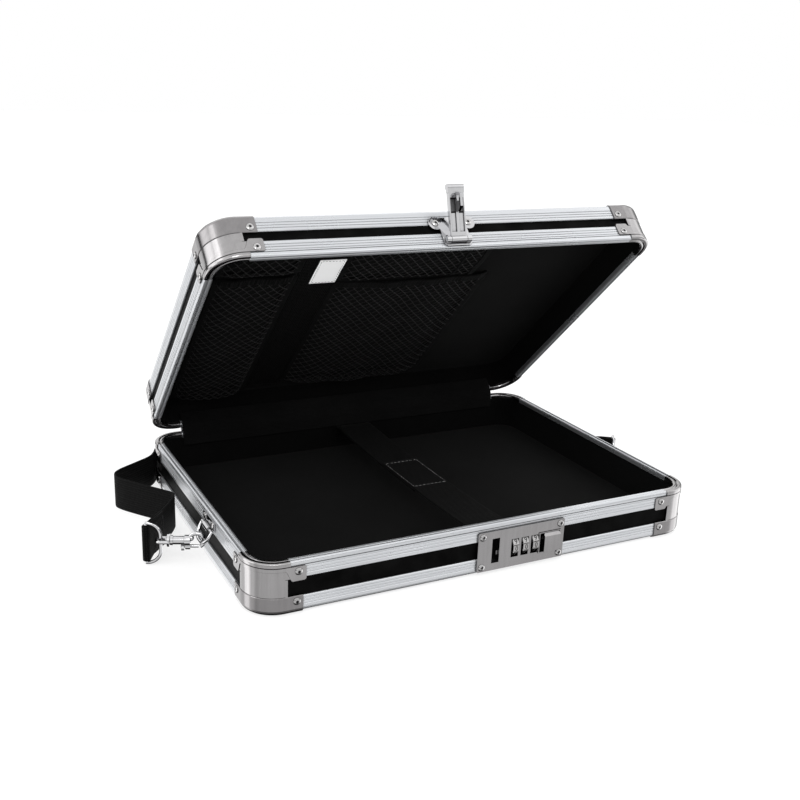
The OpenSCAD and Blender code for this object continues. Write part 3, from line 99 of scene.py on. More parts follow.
# %% The camera
RIGHT = (0.8928798, -0.448722, 0.0376064)
UP = (0.10685926, 0.29227777, 0.95034457)
FORWARD = (0.43743206, 0.84452485, -0.30891902)
EYE = (-0.367665, -0.686787, 0.3414)
camera_data = bpy.data.cameras.new("camera")
camera_data.lens = 46.18
camera_data.sensor_width = 36
camera_data.clip_start = 0.01
camera = bpy.data.objects.new("camera", camera_data)
columns = Matrix([RIGHT, UP, [-a for a in FORWARD]]).transposed().to_4x4()
camera.matrix_world = Matrix.Translation(EYE) @ columns
bpy.context.scene.collection.objects.link(camera)
bpy.context.scene.camera = camera
print("camera at", EYE, "lens", camera_data.lens)

# %% [markdown]
# ## Light
# A product on a white sweep is lit by big soft panels. Two lamps stand in for them here, one
# in front and above and a weaker one on the left.

# %% Two lamps


def panel(name, place, aim, size, power):
    """A rectangular lamp at place that faces aim: its Z axis points back from aim to the
    lamp, and its X axis is level."""
    data = bpy.data.lights.new(name, "AREA")
    data.shape = "RECTANGLE"
    data.size, data.size_y = size
    data.energy = power
    lamp = bpy.data.objects.new(name, data)
    z = -(np.array(aim, float) - place)
    z /= np.linalg.norm(z)
    x = np.cross([0, 0, 1], z)
    x /= np.linalg.norm(x)
    turn = Matrix([x, np.cross(z, x), z]).transposed().to_4x4()
    lamp.matrix_world = Matrix.Translation(place) @ turn
    bpy.context.scene.collection.objects.link(lamp)


panel("key", (-0.5, -1.5, 1.7), (0, 0, 0.1), (1.0, 0.5), 9)
panel("left", (-1.6, 0.1, 0.8), (0, 0, 0.1), (0.5, 1.2), 3)

# %% [markdown]
# ## A kit for node graphs
# The world's light and every finish are graphs of nodes. Adding a node takes three steps: it
# is made, its options are set, and its inputs are filled or linked. `node` does all three.

# %% Graphs


class Graph:
    """A tree of nodes that grows by one node at a time."""

    def __init__(self, tree):
        self.tree = tree

    def node(self, kind, settings=None, **inputs):
        """Adds a node. An input is given by its name or, as _0, by its number, and is
        either a plain value or another node's output, which is then linked."""
        made = self.tree.nodes.new(kind)
        for key, value in (settings or {}).items():
            setattr(made, key, value)
        for key, value in inputs.items():
            socket = made.inputs[int(key[1:]) if key[1:].isdigit() else key.replace("_", " ")]
            if isinstance(value, bpy.types.NodeSocket):
                self.tree.links.new(value, socket)
            else:
                socket.default_value = value
        return made


print("graph kit ready")

# %% [markdown]
# ## A studio to be mirrored
# Bright metal shows what is around it, so the surroundings matter more for their
# reflections than for their light. The world does both jobs: it lights the scene as a soft
# dome, and mirror-like surfaces see a studio in it, with a pale ceiling and a ring of grey
# walls that has one bright panel on the right and one at the back left. The floor is left
# out of reflections, so that the upright metal faces, which look down at it, see that ring
# instead of one flat white.

# %% Nodes for the world
WHITE = (1, 1, 1, 1)
world = bpy.data.worlds.new("studio")
world.use_nodes = True
sky = Graph(world.node_tree)


def levels(fac, stops):
    """A ramp of greys; stops are (place, level) pairs."""
    made = sky.node("ShaderNodeValToRGB", Fac=fac)
    while len(made.color_ramp.elements) < len(stops):
        made.color_ramp.elements.new(0.5)
    for element, (where, level) in zip(made.color_ramp.elements, stops):
        element.position, element.color = where, (level, level, level, 1)
    return made.outputs[0]


def lit(color, strength):
    """Light of one colour, or of the colours that a pattern gives."""
    return sky.node("ShaderNodeBackground", Color=color, Strength=strength).outputs[0]


def choose(fac, no, yes):
    """Mixes two lights, or swaps one for the other where fac is a yes-or-no."""
    return sky.node("ShaderNodeMixShader", _0=fac, _1=no, _2=yes).outputs[0]


print("world", world.name)

# %% Walls, ceiling and dome
direction = sky.node("ShaderNodeTexCoord").outputs["Generated"]
around = sky.node("ShaderNodeTexGradient", {"gradient_type": "RADIAL"}, Vector=direction)
upward = sky.node("ShaderNodeSeparateXYZ", Vector=direction).outputs["Z"]
height = sky.node("ShaderNodeMath", {"operation": "MULTIPLY_ADD"}, _0=upward, _1=0.5, _2=0.5)
# Each pair is a place and a level, and a level is a share of LAMP. Places round the walls:
# 0 is left (-X), 0.25 the front (-Y), 0.5 right and 0.75 the back. Places up the walls: 0 is
# straight down, 0.5 the horizon and 1 straight up.
LAMP = 4.0
WALLS = [
    (0.0, 0.34), (0.03, 0.20), (0.07, 0.26), (0.16, 0.27), (0.29, 0.27), (0.37, 0.27), (0.41, 0.31),
    (0.435, 0.58), (0.535, 0.58), (0.57, 0.10), (0.61, 0.12), (0.64, 0.38), (0.72, 0.36),
    (0.80, 0.31), (0.875, 0.31), (0.90, 0.72), (0.945, 0.72), (0.965, 0.36), (1.0, 0.34),
]
HORIZON = [(0.10, 0.03), (0.22, 1.0), (0.465, 1.0), (0.485, 0.06), (0.52, 0.06), (0.54, 1.0)]
CEILING = [(0.5, 0.14), (0.72, 0.22), (0.82, 0.48), (0.86, 0.48), (0.89, 0.36), (0.95, 0.31)]
DOME = [(0.5, 0.095), (0.55, 0.10), (0.66, 0.27), (0.80, 0.34)]
ring = sky.node("ShaderNodeMix", {"data_type": "RGBA", "blend_type": "MULTIPLY"}, _0=1.0,
                _6=levels(around.outputs["Fac"], WALLS), _7=levels(height.outputs[0], HORIZON))
walls = lit(ring.outputs[2], LAMP)
ceiling = lit(levels(height.outputs[0], CEILING), LAMP)
mirrored = choose(levels(height.outputs[0], [(0.68, 0.0), (0.82, 1.0)]), walls, ceiling)
dome = lit(levels(height.outputs[0], DOME), LAMP)
ray = sky.node("ShaderNodeLightPath")
seen = choose(ray.outputs["Is Glossy Ray"], dome, mirrored)
seen = choose(ray.outputs["Is Camera Ray"], seen, lit(WHITE, 1.0))
sky.tree.links.new(seen, sky.tree.nodes["World Output"].inputs["Surface"])
bpy.context.scene.world = world
bpy.context.scene.view_settings.view_transform = "Standard"
print("studio of", len(sky.tree.nodes), "nodes")

# %% [markdown]
# ## Helpers for finishes
# A finish is a small graph of nodes. Each one here starts from the same few steps, so the
# steps have names: a pattern, a ramp that turns it into colour or roughness, and a bump.

# %% Finishes


class Finish(Graph):
    """A material and the steps that its graph is built from."""

    def __init__(self, name, color, metallic=0.0, roughness=0.5):
        self.material = bpy.data.materials.new(name)
        self.material.use_nodes = True
        super().__init__(self.material.node_tree)
        self.shader = self.tree.nodes["Principled BSDF"]
        self.set("Base Color", (*color, 1))
        self.set("Metallic", metallic)
        self.set("Roughness", roughness)
        self.height = None

    def set(self, socket, value):
        """Sets a value that is the same all over the surface."""
        self.shader.inputs[socket].default_value = value

    def place(self, scale=(1, 1, 1), turn=(0, 0, 0), uv=False):
        """Coordinates on the piece, or along its cloth, stretched and turned."""
        source = self.node("ShaderNodeTexCoord").outputs["UV" if uv else "Object"]
        return self.node("ShaderNodeMapping", Vector=source, Scale=scale, Rotation=turn).outputs[0]

    def noise(self, where, scale, detail=3.0, roughness=0.55):
        """A cloudy pattern between 0 and 1."""
        made = self.node(
            "ShaderNodeTexNoise", Vector=where, Scale=scale, Detail=detail, Roughness=roughness
        )
        return made.outputs[0]

    def wave(self, where, scale, axis):
        """Soft stripes that follow each other along one axis."""
        settings = {"bands_direction": axis}
        return self.node("ShaderNodeTexWave", settings, Vector=where, Scale=scale).outputs["Fac"]

    def math(self, kind, a, b):
        """One step of arithmetic on a pattern."""
        return self.node("ShaderNodeMath", {"operation": kind}, _0=a, _1=b).outputs[0]

    def ramp(self, fac, low, high, at=(0.0, 1.0)):
        """Turns a number into a colour, from low to high."""
        made = self.node("ShaderNodeValToRGB", Fac=fac)
        for element, color, where in zip(made.color_ramp.elements, (low, high), at):
            element.color = (*color, 1) if len(color) == 3 else color
            element.position = where
        return made.outputs[0]

    def link(self, socket, value):
        """Lets a pattern drive one of the shader's sockets."""
        self.tree.links.new(value, self.shader.inputs[socket])

    def crevice(self, color, reach, dark=0.15):
        """Paints shade into a colour: darker where another surface stands within reach, as in the
        gap between two parts of polished metal."""
        near = self.node("ShaderNodeAmbientOcclusion", {"samples": 6}, Distance=reach).outputs["AO"]
        shade = self.ramp(near, grey(dark), grey(1.0), (0.35, 0.85))
        settings = {"data_type": "RGBA", "blend_type": "MULTIPLY"}
        return self.node("ShaderNodeMix", settings, _0=1.0, _6=color, _7=shade).outputs[2]

    def mottle(self, scale, low, high, at=(0.0, 1.0), detail=3.0):
        """Lets a noise drive the colour between two greys, and hands the noise back."""
        spots = self.noise(self.place(), scale, detail)
        self.link("Base Color", self.ramp(spots, grey(low), grey(high), at))
        return spots

    def fleece(self, specular, sheen, spread):
        """Sets how little a cloth shines and how its fibres catch light at its edges."""
        self.set("Specular IOR Level", specular)
        self.set("Sheen Weight", sheen)
        self.set("Sheen Roughness", spread)

    def bump(self, height, strength, distance):
        """Adds a relief on top of any before it."""
        made = self.node("ShaderNodeBump", Strength=strength, Distance=distance, Height=height)
        if self.height is not None:
            self.tree.links.new(self.height, made.inputs["Normal"])
        self.height = made.outputs[0]
        self.link("Normal", self.height)


print("steps of a finish:", [step for step in vars(Finish) if not step.startswith("_")])

# %% Greys, and putting a finish on


def grey(v):
    """A colour without a hue."""
    return (v, v, v)


def wear(*names, finish):
    """Puts one finish on the named solids, and hands it back."""
    for name in names:
        mesh = nodes[name].data
        mesh.materials.clear()
        mesh.materials.append(finish.material)
    return finish


print("finish kit ready")

# %% [markdown]
# ## Brushed aluminium
# The rails are drawn aluminium with a fine grain along their length. The grain is a noise
# that changes fast across the rail and slowly along it, so its coordinates are squeezed.
# The lid's rails are the same metal turned by the opening angle, so its grain is turned too.

# %% Rails


def brushed(name, tilt):
    """Drawn aluminium; tilt is the turn about X that the piece stands at."""
    f = Finish(name, (0.56, 0.57, 0.59), metallic=0.8, roughness=0.3)
    where = f.place(turn=(tilt, 0, 0))
    squeeze = f.node("ShaderNodeMapping", Vector=where, Scale=(10, 10, 1600)).outputs[0]
    grain = f.noise(squeeze, 1.0, 4.0, 0.7)
    cloud = f.noise(where, 22.0, 2.0)
    color = f.ramp(grain, (0.46, 0.47, 0.49), (0.61, 0.625, 0.645), (0.3, 0.7))
    # Painted shade: the colour darkens in the rails' grooves and where other parts stand close.
    f.link("Base Color", f.crevice(color, 0.0016, 0.25))
    f.link("Roughness", f.ramp(cloud, grey(0.25), grey(0.31), (0.3, 0.7)))
    f.bump(grain, 0.1, 0.0001)
    return f


wear("base_lower_rails", "base_rim_rails", finish=brushed("rail_level", 0.0))
wear("lid_outer_rails", "lid_rim_rails", finish=brushed("rail_tilted", LID_OPEN))
print("rails brushed")

# %% [markdown]
# ## Satin nickel
# The corner caps are pressed steel plated with nickel: greyer and warmer than the rails,
# smooth, with a broad soft shine and faint polishing marks.

# %% Caps, lock and fittings


def nickel(name, dark, light, rough, streaks=0.5):
    """Plated steel: upright polishing streaks in colour and roughness, and painted shade near other
    parts.
    """
    f = Finish(name, dark, metallic=1.0, roughness=rough)
    cloud = f.noise(f.place(), 26.0, 3.0)
    polish = f.noise(f.place(scale=(1, 1, 0.06)), 330.0, 4.0, 0.6)
    tone = f.node("ShaderNodeMix", {"data_type": "FLOAT"}, _0=streaks, _2=cloud, _3=polish).outputs[0]
    f.link("Base Color", f.crevice(f.ramp(tone, dark, light, (0.3, 0.7)), 0.0025))
    f.link("Roughness", f.ramp(polish, grey(rough * 0.85), grey(rough * 1.2), (0.3, 0.7)))
    f.bump(polish, 0.04, 0.0001)
    return f


wear("base_lower_caps", "lid_outer_caps",
     finish=nickel("cap_nickel_outer", (0.195, 0.188, 0.190), (0.255, 0.247, 0.250), 0.15))
wear("base_upper_caps", "lid_inner_caps",
     finish=nickel("cap_nickel_inner", (0.265, 0.258, 0.260), (0.345, 0.337, 0.340), 0.15))
wear("base_rivets", "lid_rivets", "lock_screws",
     finish=nickel("rivet_nickel", (0.36, 0.355, 0.355), (0.46, 0.455, 0.455), 0.09, 0.2))
PAIRED = ["ring_bracket", "strap_ring", "snap_hook", "hook_gate", "hook_swivel", "strap_dee"]
wear("hasp_base", "hasp_pin", "hasp_lever", "strap_adjuster",
     *[f"{name}_{side}" for name in PAIRED for side in ("left", "right")],
     finish=nickel("bright_steel", (0.46, 0.46, 0.47), (0.60, 0.60, 0.61), 0.06, 0.2))
wear("clip_jaw", "clip_base",
     finish=nickel("clip_steel", (0.27, 0.27, 0.275), (0.35, 0.35, 0.355), 0.24))
wear("hinge_base_leaf", "hinge_lid_leaf", "hinge_pin", "dial_shaft", "clip_pin", "clip_spring",
     finish=nickel("plain_steel", (0.42, 0.42, 0.43), (0.52, 0.52, 0.53), 0.32))
lock_finish = wear("lock_plate", "lock_button", "lock_bolt",
                   finish=nickel("lock_nickel", (0.24, 0.234, 0.236), (0.30, 0.293, 0.296), 0.16))
dial_finish = wear("dial_1", "dial_2", "dial_3",
                   finish=nickel("dial_metal", (0.30, 0.295, 0.295), (0.42, 0.415, 0.415), 0.12))
print("metals plated")

# %% [markdown]
# ## Black boards and cloth
# The strip between the rails is a black laminate with a fine leather grain. The lining is a
# short black cloth: a weave in its relief and a little sheen at grazing angles.

# %% Boards, lining and housing
board = Finish("board_black", (0.005, 0.005, 0.0055), roughness=0.5)
board.set("Specular IOR Level", 0.02)
pebble = board.node("ShaderNodeTexVoronoi", Vector=board.place(), Scale=1500.0).outputs["Distance"]
board.mottle(60.0, 0.001, 0.004, (0.35, 0.7))
board.link("Roughness", board.ramp(pebble, grey(0.34), grey(0.55)))
board.bump(pebble, 0.35, 0.0002)
wear("base_floor_board", "base_wall_boards", "base_corner_posts", "lid_board", "lid_wall_boards",
     "lid_corner_posts", finish=board)


def cloth(name, low, high, threads):
    """Plain weave: two waves at right angles, with a soft cloud of lint over them."""
    f = Finish(name, low, roughness=0.9)
    where = f.place(turn=(LID_OPEN, 0, 0)) if "lid" in name else f.place()
    warp = f.wave(where, threads, "X")
    weft = f.wave(where, threads, "Y")
    weave = f.math("MULTIPLY", warp, weft)
    lint = f.noise(where, 900.0, 4.0, 0.7)
    cloud = f.noise(where, 14.0, 3.0)
    f.link("Base Color", f.ramp(f.math("MULTIPLY", lint, cloud), low, high, (0.15, 0.45)))
    f.fleece(0.08, 0.02, 0.5)
    f.bump(weave, 0.3, 0.0003)
    f.bump(lint, 0.25, 0.0003)
    return f


wear("base_lining", finish=cloth("lining_base", grey(0.0006), grey(0.003), 300.0))
wear("lid_lining", finish=cloth("lining_lid", grey(0.0006), grey(0.0035), 300.0))
cover_cloth = wear("hinge_cover", finish=cloth("cover_cloth", grey(0.002), grey(0.007), 400.0))
housing = Finish("housing_black", (0.02, 0.02, 0.021), roughness=0.45)
housing.bump(housing.noise(housing.place(), 500.0), 0.2, 0.0002)
wear("lock_housing", finish=housing)
rubber = Finish("grip_rubber", (0.02, 0.02, 0.02), roughness=0.7)
rubber.bump(rubber.noise(rubber.place(), 700.0), 0.3, 0.0002)
wear("clip_grip", finish=rubber)
paper_painted_glow = Finish("blank_label", (0.93, 0.93, 0.94), roughness=0.7)
paper_painted_glow.mottle(90.0, 0.88, 0.95)
# Painted light: the label glows a little, which lifts it out of the lid's shade.
paper_painted_glow.set("Emission Color", WHITE)
paper_painted_glow.set("Emission Strength", 0.16)
paper_painted_glow.bump(paper_painted_glow.noise(paper_painted_glow.place(), 1200.0), 0.2, 0.0001)
wear("blank_label", finish=paper_painted_glow)
print("boards and cloth done")

# %% [markdown]
# ## Surfaces from arrays
# A tape, a thread and a tube are all the same thing: a small outline carried along a path.
# Once its points are rows of an array, the faces follow from the rows' length alone:
# `carried` joins them and closes the ends, and `piece` turns points and faces into a mesh
# that rides on a body of the case.

# %% Points and faces to a piece


def unit(v):
    """Each vector divided by its length."""
    return v / np.maximum(np.linalg.norm(v, axis=-1, keepdims=True), 1e-12)


def faces_of(rows, columns, closed):
    """Quads between neighbouring points of a grid; a closed grid joins its last column to
    its first."""
    i = np.arange(rows - 1)[:, None] * columns
    k = np.arange(columns if closed else columns - 1)[None, :]
    a, b = i + k, i + (k + 1) % columns
    return np.stack([a, b, b + columns, a + columns], axis=-1).reshape(-1, 4)


def piece(name, points, faces, finish, body, slot, uv=None, smooth=True):
    """Puts points and faces into a mesh, gives it a finish and lets it ride on a body."""
    mesh = bpy.data.meshes.new(name)
    mesh.from_pydata(points.reshape(-1, 3).tolist(), [], faces)
    if uv is not None:
        corner = np.empty(len(mesh.loops), dtype=np.int32)
        mesh.loops.foreach_get("vertex_index", corner)
        layer = mesh.uv_layers.new(name="along")
        layer.data.foreach_set("uv", uv.reshape(-1, 2)[corner].ravel())
    mesh.polygons.foreach_set("use_smooth", np.full(len(mesh.polygons), smooth))
    mesh.materials.append(finish.material)
    mesh.update()
    made = bpy.data.objects.new(name, mesh)
    bpy.context.scene.collection.objects.link(made)
    if body:
        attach(made, body)
    return made


def carried(rows):
    """Faces of outlines carried along a path, with both ends closed."""
    n, m = rows.shape[:2]
    faces = faces_of(n, m, True).tolist()
    return faces + [list(range(m))[::-1], list(range((n - 1) * m, n * m))]


def joined(parts):
    """One array of points and one list of faces from many (points, faces) pairs: each
    part's faces are counted on from the points before it."""
    first = np.cumsum([0] + [len(points) for points, _ in parts])
    faces = [[v + n for v in face] for (_, part), n in zip(parts, first) for face in part]
    return np.vstack([points for points, _ in parts]), faces


print("faces of a grid of 3 by 4 points:", len(faces_of(3, 4, False)))

# %% [markdown]
# ## Tapes
# `ribbon` makes the rows of a tape, one outline at each point of its path, from the path's
# direction and the way that the tape's width points. `strip` makes the whole piece. Its UV
# map is measured in metres along the cloth, so that a weave keeps its size and follows it.

# %% Helpers for tapes


def ribbon(path, width_axis, outline):
    """Each point of the outline (w, t) goes to path + w * width axis + t * normal, where the
    normal is the path's direction crossed with the width axis, stretched at bends."""
    step = unit(np.diff(path, axis=0))
    before, after = np.vstack([step[:1], step]), np.vstack([step, step[-1:]])
    ahead = unit(before + after)
    normal = unit(np.cross(ahead, width_axis))
    stretch = 1 / np.maximum((ahead * before).sum(-1, keepdims=True), 0.5)
    return (path[:, None] + outline[None, :, :1] * np.asarray(width_axis, float)
            + outline[None, :, 1:] * (normal * stretch)[:, None])


def along(path):
    """Distance from the path's start to each of its points."""
    return np.concatenate([[0], np.cumsum(np.linalg.norm(np.diff(path, axis=0), axis=1))])


def cloth_uv(path, outline):
    """u runs round the outline and v along the path, both in metres."""
    edge = np.concatenate([[0], np.cumsum(np.linalg.norm(np.diff(outline, axis=0), axis=1))])
    return np.stack(np.meshgrid(edge, along(path)), axis=-1)


def strip(name, path, width_axis, outline, finish, body, slot):
    """A ribbon as a closed piece, with its own length and outline as its UV map."""
    rows = ribbon(path, width_axis, outline)
    return piece(name, rows, carried(rows), finish, body, slot, cloth_uv(path, outline))


def smooth_path(p, n):
    """A curve through the points p: between two of them, a cubic whose slope at each end is
    half the step between that point's neighbours."""
    p = np.asarray(p, float)
    q = np.vstack([p[:1], p, p[-1:]])
    t = (np.arange(n) / n)[None, :, None]
    a, b, c, d = (q[i:len(q) - 3 + i, None] for i in range(4))
    square, cube = 2 * a - 5 * b + 4 * c - d, 3 * b - a - 3 * c + d
    inner = b + t / 2 * (c - a) + t**2 / 2 * square + t**3 / 2 * cube
    return np.vstack([inner.reshape(-1, p.shape[1]), p[-1:]])


def tape_outline(width, thick, steps):
    """A flat tape's section, anticlockwise: two faces of so many points and two rounded
    selvedges."""
    r = thick / 2
    x = np.linspace(-width / 2 + r, width / 2 - r, steps)
    a = np.linspace(-90, 90, 6)[1:-1] * math.pi / 180
    right = np.stack([width / 2 - r + r * np.cos(a), r * np.sin(a)], -1)
    lower = np.stack([x, np.full(steps, -r)], -1)
    return np.vstack([lower, right, -lower, -right])


print("points round a tape's outline:", len(tape_outline(1.0, 0.1, 10)))

# %% [markdown]
# ## Threads
# A thread is a thin tube of four to six sides. Netting and stitching need hundreds of them,
# so `tubes` makes all the tubes of a piece in one go, as one array.

# %% Helpers for threads


def tubes(paths, out, radius, sides=4):
    """Thin tubes round many paths at once, paths being (tube, station, xyz). Each ring lies
    across its path, with its first corner turned towards out."""
    ahead = unit(np.gradient(paths, axis=1))
    side = unit(np.cross(ahead, out))
    out = np.cross(side, ahead)
    a = np.arange(sides) * 2 * math.pi / sides
    ring = np.cos(a)[:, None] * side[:, :, None] + np.sin(a)[:, None] * out[:, :, None]
    points = paths[:, :, None] + radius * MM * ring
    n, stations = paths.shape[:2]
    first = np.arange(n)[:, None, None] * stations * sides
    base = np.arange(sides)
    ends = np.stack([base[::-1], base + (stations - 1) * sides])
    faces = (faces_of(stations, sides, True)[None] + first).reshape(-1, 4).tolist()
    return points.reshape(-1, 3), faces + (ends[None] + first).reshape(-1, sides).tolist()


def stitches(name, lines, out, finish, body, slot, long=2.4, gap=1.0, thread=0.38):
    """Rows of stitches along lines of points: each stitch is an arch that rises from the
    cloth and dives back into it. out is the way that the cloth faces."""
    t = np.linspace(-1, 1, 7)
    arches = []
    for line in lines:
        reach = along(line)
        count = max(1, round(reach[-1] / ((long + gap) * MM)))
        s = ((np.arange(count) + 0.5) * reach[-1] / count)[:, None] + t * long / 2 * MM
        path = np.stack([np.interp(s, reach, line[:, i]) for i in range(3)], axis=-1)
        rise = thread * MM * (0.75 * (1 - t**4) - 0.35)
        arches.append(path + rise[None, :, None] * np.asarray(out))
    points, faces = tubes(np.concatenate(arches), out, thread / 2, sides=6)
    return piece(name, points, faces, finish, body, slot)


print("thread helpers ready")

# %% [markdown]
# ## The shoulder strap
# The strap is one length of black nylon webbing, 27 mm wide, that stands on its edge round
# the back of the case. Its route repeats the solid's: a sewn loop round the left end ring,
# two folds beside the case, the run behind it, the right end ring, and the doubled run back
# to the adjuster. The ends come first: they follow from the rings and hooks.

# %% Ends of the strap, in millimetres as seen from above
WEB_W, WEB_T = 27.0, 1.5
WIRE, GAP = 1.2, 0.3
RING_X, RING_Y, RING_DEPTH, RING_BEND, RING_HALF = 182.25, -41.0, 11.0, 9.5, 10 + WIRE
HANG = math.radians(31)
JAW_WIRE, HOOK_EYE, EYE_BEND, DEE_DEPTH = 1.5, 25 + 5.6, 3.8, 10.0


def leg_at(side):
    """Where the end ring's upright leg stands: out from the wire of the ring on the case,
    then along the hook and its eye. The right hook has slid into that ring's rear bend."""
    slid = math.radians(45 if side > 0 else 0)
    turn = math.radians(60 if side > 0 else 22)
    depth = RING_DEPTH - RING_BEND * (1 - math.cos(slid))
    x = RING_X + depth * math.sin(HANG)
    y = RING_Y + (RING_HALF - RING_BEND * (1 - math.sin(slid)) if side > 0 else 0)
    ring_at = JAW_WIRE + (JAW_WIRE + WIRE + GAP) / (0.88 if side > 0 else math.cos(turn))
    reach = HOOK_EYE + EYE_BEND - 2 * WIRE - GAP + DEE_DEPTH - ring_at
    return np.array([side * (x + reach * math.cos(turn)), y + reach * math.sin(turn)])


def left_of(v):
    """Directions a quarter turn to the left of v, seen from above."""
    return np.stack([-v[..., 1], v[..., 0]], axis=-1)


def wrap(c, a0, a1):
    """Half a turn round a leg, from angle a0 to a1 in radians."""
    a = np.linspace(a0, a1, 13)[:, None]
    return c + (WIRE + 0.1 + WEB_T / 2) * np.hstack([np.cos(a), np.sin(a)])


leg_l, leg_r = leg_at(-1), leg_at(1)
print("end rings stand at", np.round(leg_l, 1), np.round(leg_r, 1))

# %% Route of the strap
LAYER = WEB_T + 0.15
REAR, RUN = 132 + 11, 180 + 8
ADJUST = np.array([60.0, REAR + 1])
way_l = unit(np.array([-189.0, 22]) - leg_l)
in_r = np.array([RUN + 2.5, 12.0])
way_r = unit(in_r - leg_r)
turn_l, turn_r = math.atan2(way_l[1], way_l[0]), math.atan2(way_r[1], way_r[0])
quarter = math.pi / 2
middle = smooth_path([
    leg_l + 10 * way_l + 0.6 * left_of(way_l), leg_l + 31 * way_l, leg_l + 46 * way_l,
    (-190, 22), (-188, 29), (-192, 36), (-207, 56), (-218, 72), (-220.5, 81), (-216, 90),
    (-200, 101), (-187, 110), (-181, 118), (-174, 132), (-160, REAR - 1), (-136, REAR),
    (-60, REAR), (0, REAR + 0.7), ADJUST - [25, 0], ADJUST, ADJUST + [25, 0],
    (154, REAR), (174, REAR - 8), (RUN, REAR - 30), (RUN, 70), (RUN, 34), in_r,
    leg_r + 10 * way_r + 0.6 * left_of(way_r),
], 6)
main_run = np.vstack([
    leg_l + 30 * way_l - LAYER * left_of(way_l),
    leg_l + 10 * way_l - (LAYER - 0.6) * left_of(way_l),
    wrap(leg_l, turn_l - quarter, turn_l - 3 * quarter),
    middle,
    wrap(leg_r, turn_r + quarter, turn_r + 3 * quarter),
])
# The doubled run lies on the outside of the main run, from the right ring to the adjuster.
ahead = unit(np.gradient(middle, axis=0))
outer = middle + LAYER * left_of(ahead)
start = int(np.argmax((middle[:, 0] > ADJUST[0] + 3) & (middle[:, 1] > 132)))
strap_plan = np.vstack([
    main_run, leg_r + 10 * way_r - (LAYER - 0.6) * left_of(way_r), outer[-4:start:-1],
])
# The webbing stands on the table, but its fittings hold it 3 mm up within 12 mm of them,
# and less and less over the next 45 mm.
near = np.min([np.linalg.norm(strap_plan - p, axis=1) for p in (leg_l, leg_r, ADJUST)], axis=0)
lift = 3.0 * np.clip(1 - np.clip(near - 12, 0, None) / 45, 0, None) ** 2
strap_path = np.column_stack([strap_plan, lift + WEB_W / 2]) * MM

# %% [markdown]
# ## Webbing
# Nylon webbing shows rows of little arrowheads: thick yarns that run lengthways in columns and
# dip under the yarns that cross them. Two waves give that relief, one along u and one
# along v with its phase pushed by u.

# %% Webbing finish


def webbing(name, low, high, column=0.0019, row=0.0013, slant=0.6):
    """Relief = lengthways columns times slanted cross rows; colour follows the relief, so its dips carry
    painted shade.
    """
    f = Finish(name, low, roughness=0.72)
    where = f.place(uv=True)
    split = f.node("ShaderNodeSeparateXYZ", Vector=where)
    u, v = split.outputs[0], split.outputs[1]
    tri = f.math("PINGPONG", f.math("DIVIDE", u, column), 1.0)
    phase = f.math("ADD", f.math("DIVIDE", v, row), f.math("MULTIPLY", tri, slant))
    rows = f.math("SINE", f.math("MULTIPLY", phase, 2 * math.pi), 0.0)
    columns = f.math("SINE", f.math("MULTIPLY", tri, math.pi), 0.0)
    relief = f.math("MULTIPLY", f.math("MULTIPLY_ADD", rows, 0.5), columns)
    fuzz = f.noise(f.place(), 1400.0, 4.0, 0.7)
    # Painted shade: the colour is darker in the weave's dips, and the fuzz adds the fibres' own tone.
    f.link("Base Color", f.ramp(f.math("MULTIPLY", relief, fuzz), low, high, (0.1, 0.6)))
    f.link("Roughness", f.ramp(fuzz, grey(0.55), grey(0.85)))
    f.fleece(0.06, 0.015, 0.4)
    f.bump(relief, 0.8, 0.0004)
    f.bump(fuzz, 0.2, 0.0002)
    return f


nylon = webbing("webbing_black", grey(0.0003), grey(0.011))
outline = tape_outline(WEB_W * MM, WEB_T * MM, 14)
strap = strip("strap_webbing_woven", strap_path, (0, 0, 1), outline, nylon, "case", "webbing")
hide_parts("strap_webbing")
print("strap made,", len(strap.data.polygons), "faces")

# %% [markdown]
# ## Sewn by machine
# The left loop is held by a box of stitches with a cross in it. A stitch is a short arch of
# waxed thread, so a row of them is one list of arches along a line. The same helper sews the
# hold-down strap and the label.

# %% Stitches of the strap
thread = Finish("sewing_thread", grey(0.03), roughness=0.5)
thread.mottle(3000.0, 0.006, 0.03, (0.35, 0.7))
thread.set("Specular IOR Level", 0.2)
BOX_NEAR, BOX_FAR, BOX_HALF, LOOP_RISE = 13.0, 28.0, 9.5, 2.6


def sewn_box(offset):
    """A rectangle and its diagonals on the sewn loop, offset from the loop's middle layer."""
    corners = [(BOX_NEAR, -BOX_HALF), (BOX_FAR, -BOX_HALF), (BOX_FAR, BOX_HALF), (BOX_NEAR, BOX_HALF)]
    flat = [leg_l + a * way_l + (offset + (30 - a) * 0.03) * left_of(way_l) for a, _ in corners]
    spot = [np.array([*f, WEB_W / 2 + LOOP_RISE + z]) * MM for f, (_, z) in zip(flat, corners)]
    pairs = [(0, 1), (1, 2), (2, 3), (3, 0), (0, 2), (1, 3)]
    return [np.linspace(spot[a], spot[b], 2) for a, b in pairs]


strap_out = np.array([*left_of(way_l), 0.0])
stitches("strap_stitches_outer", sewn_box(WEB_T / 2), strap_out, thread, "case", "webbing")
stitches("strap_stitches_inner", sewn_box(-LAYER - WEB_T / 2), -strap_out, thread, "case", "webbing")
print("loop sewn")

# %% [markdown]
# ## The hold-down strap
# Two bands of thick black elastic cross the tray and close on each other with hook and
# loop. Each one leaves its wall, drops over its edge and sags to the middle. They are
# ribbons whose width points along X.

# %% Hold-down strap
HOLD_X, HOLD_W, HOLD_T = 4.0, 33.0, 1.4
FRONT, BACK = -116.2 + 0.9, 132 - 5.6 - 1.2
MID, HALF = (FRONT + BACK) / 2, (BACK - FRONT) / 2
TOP, SAG = 27.0, 3.0
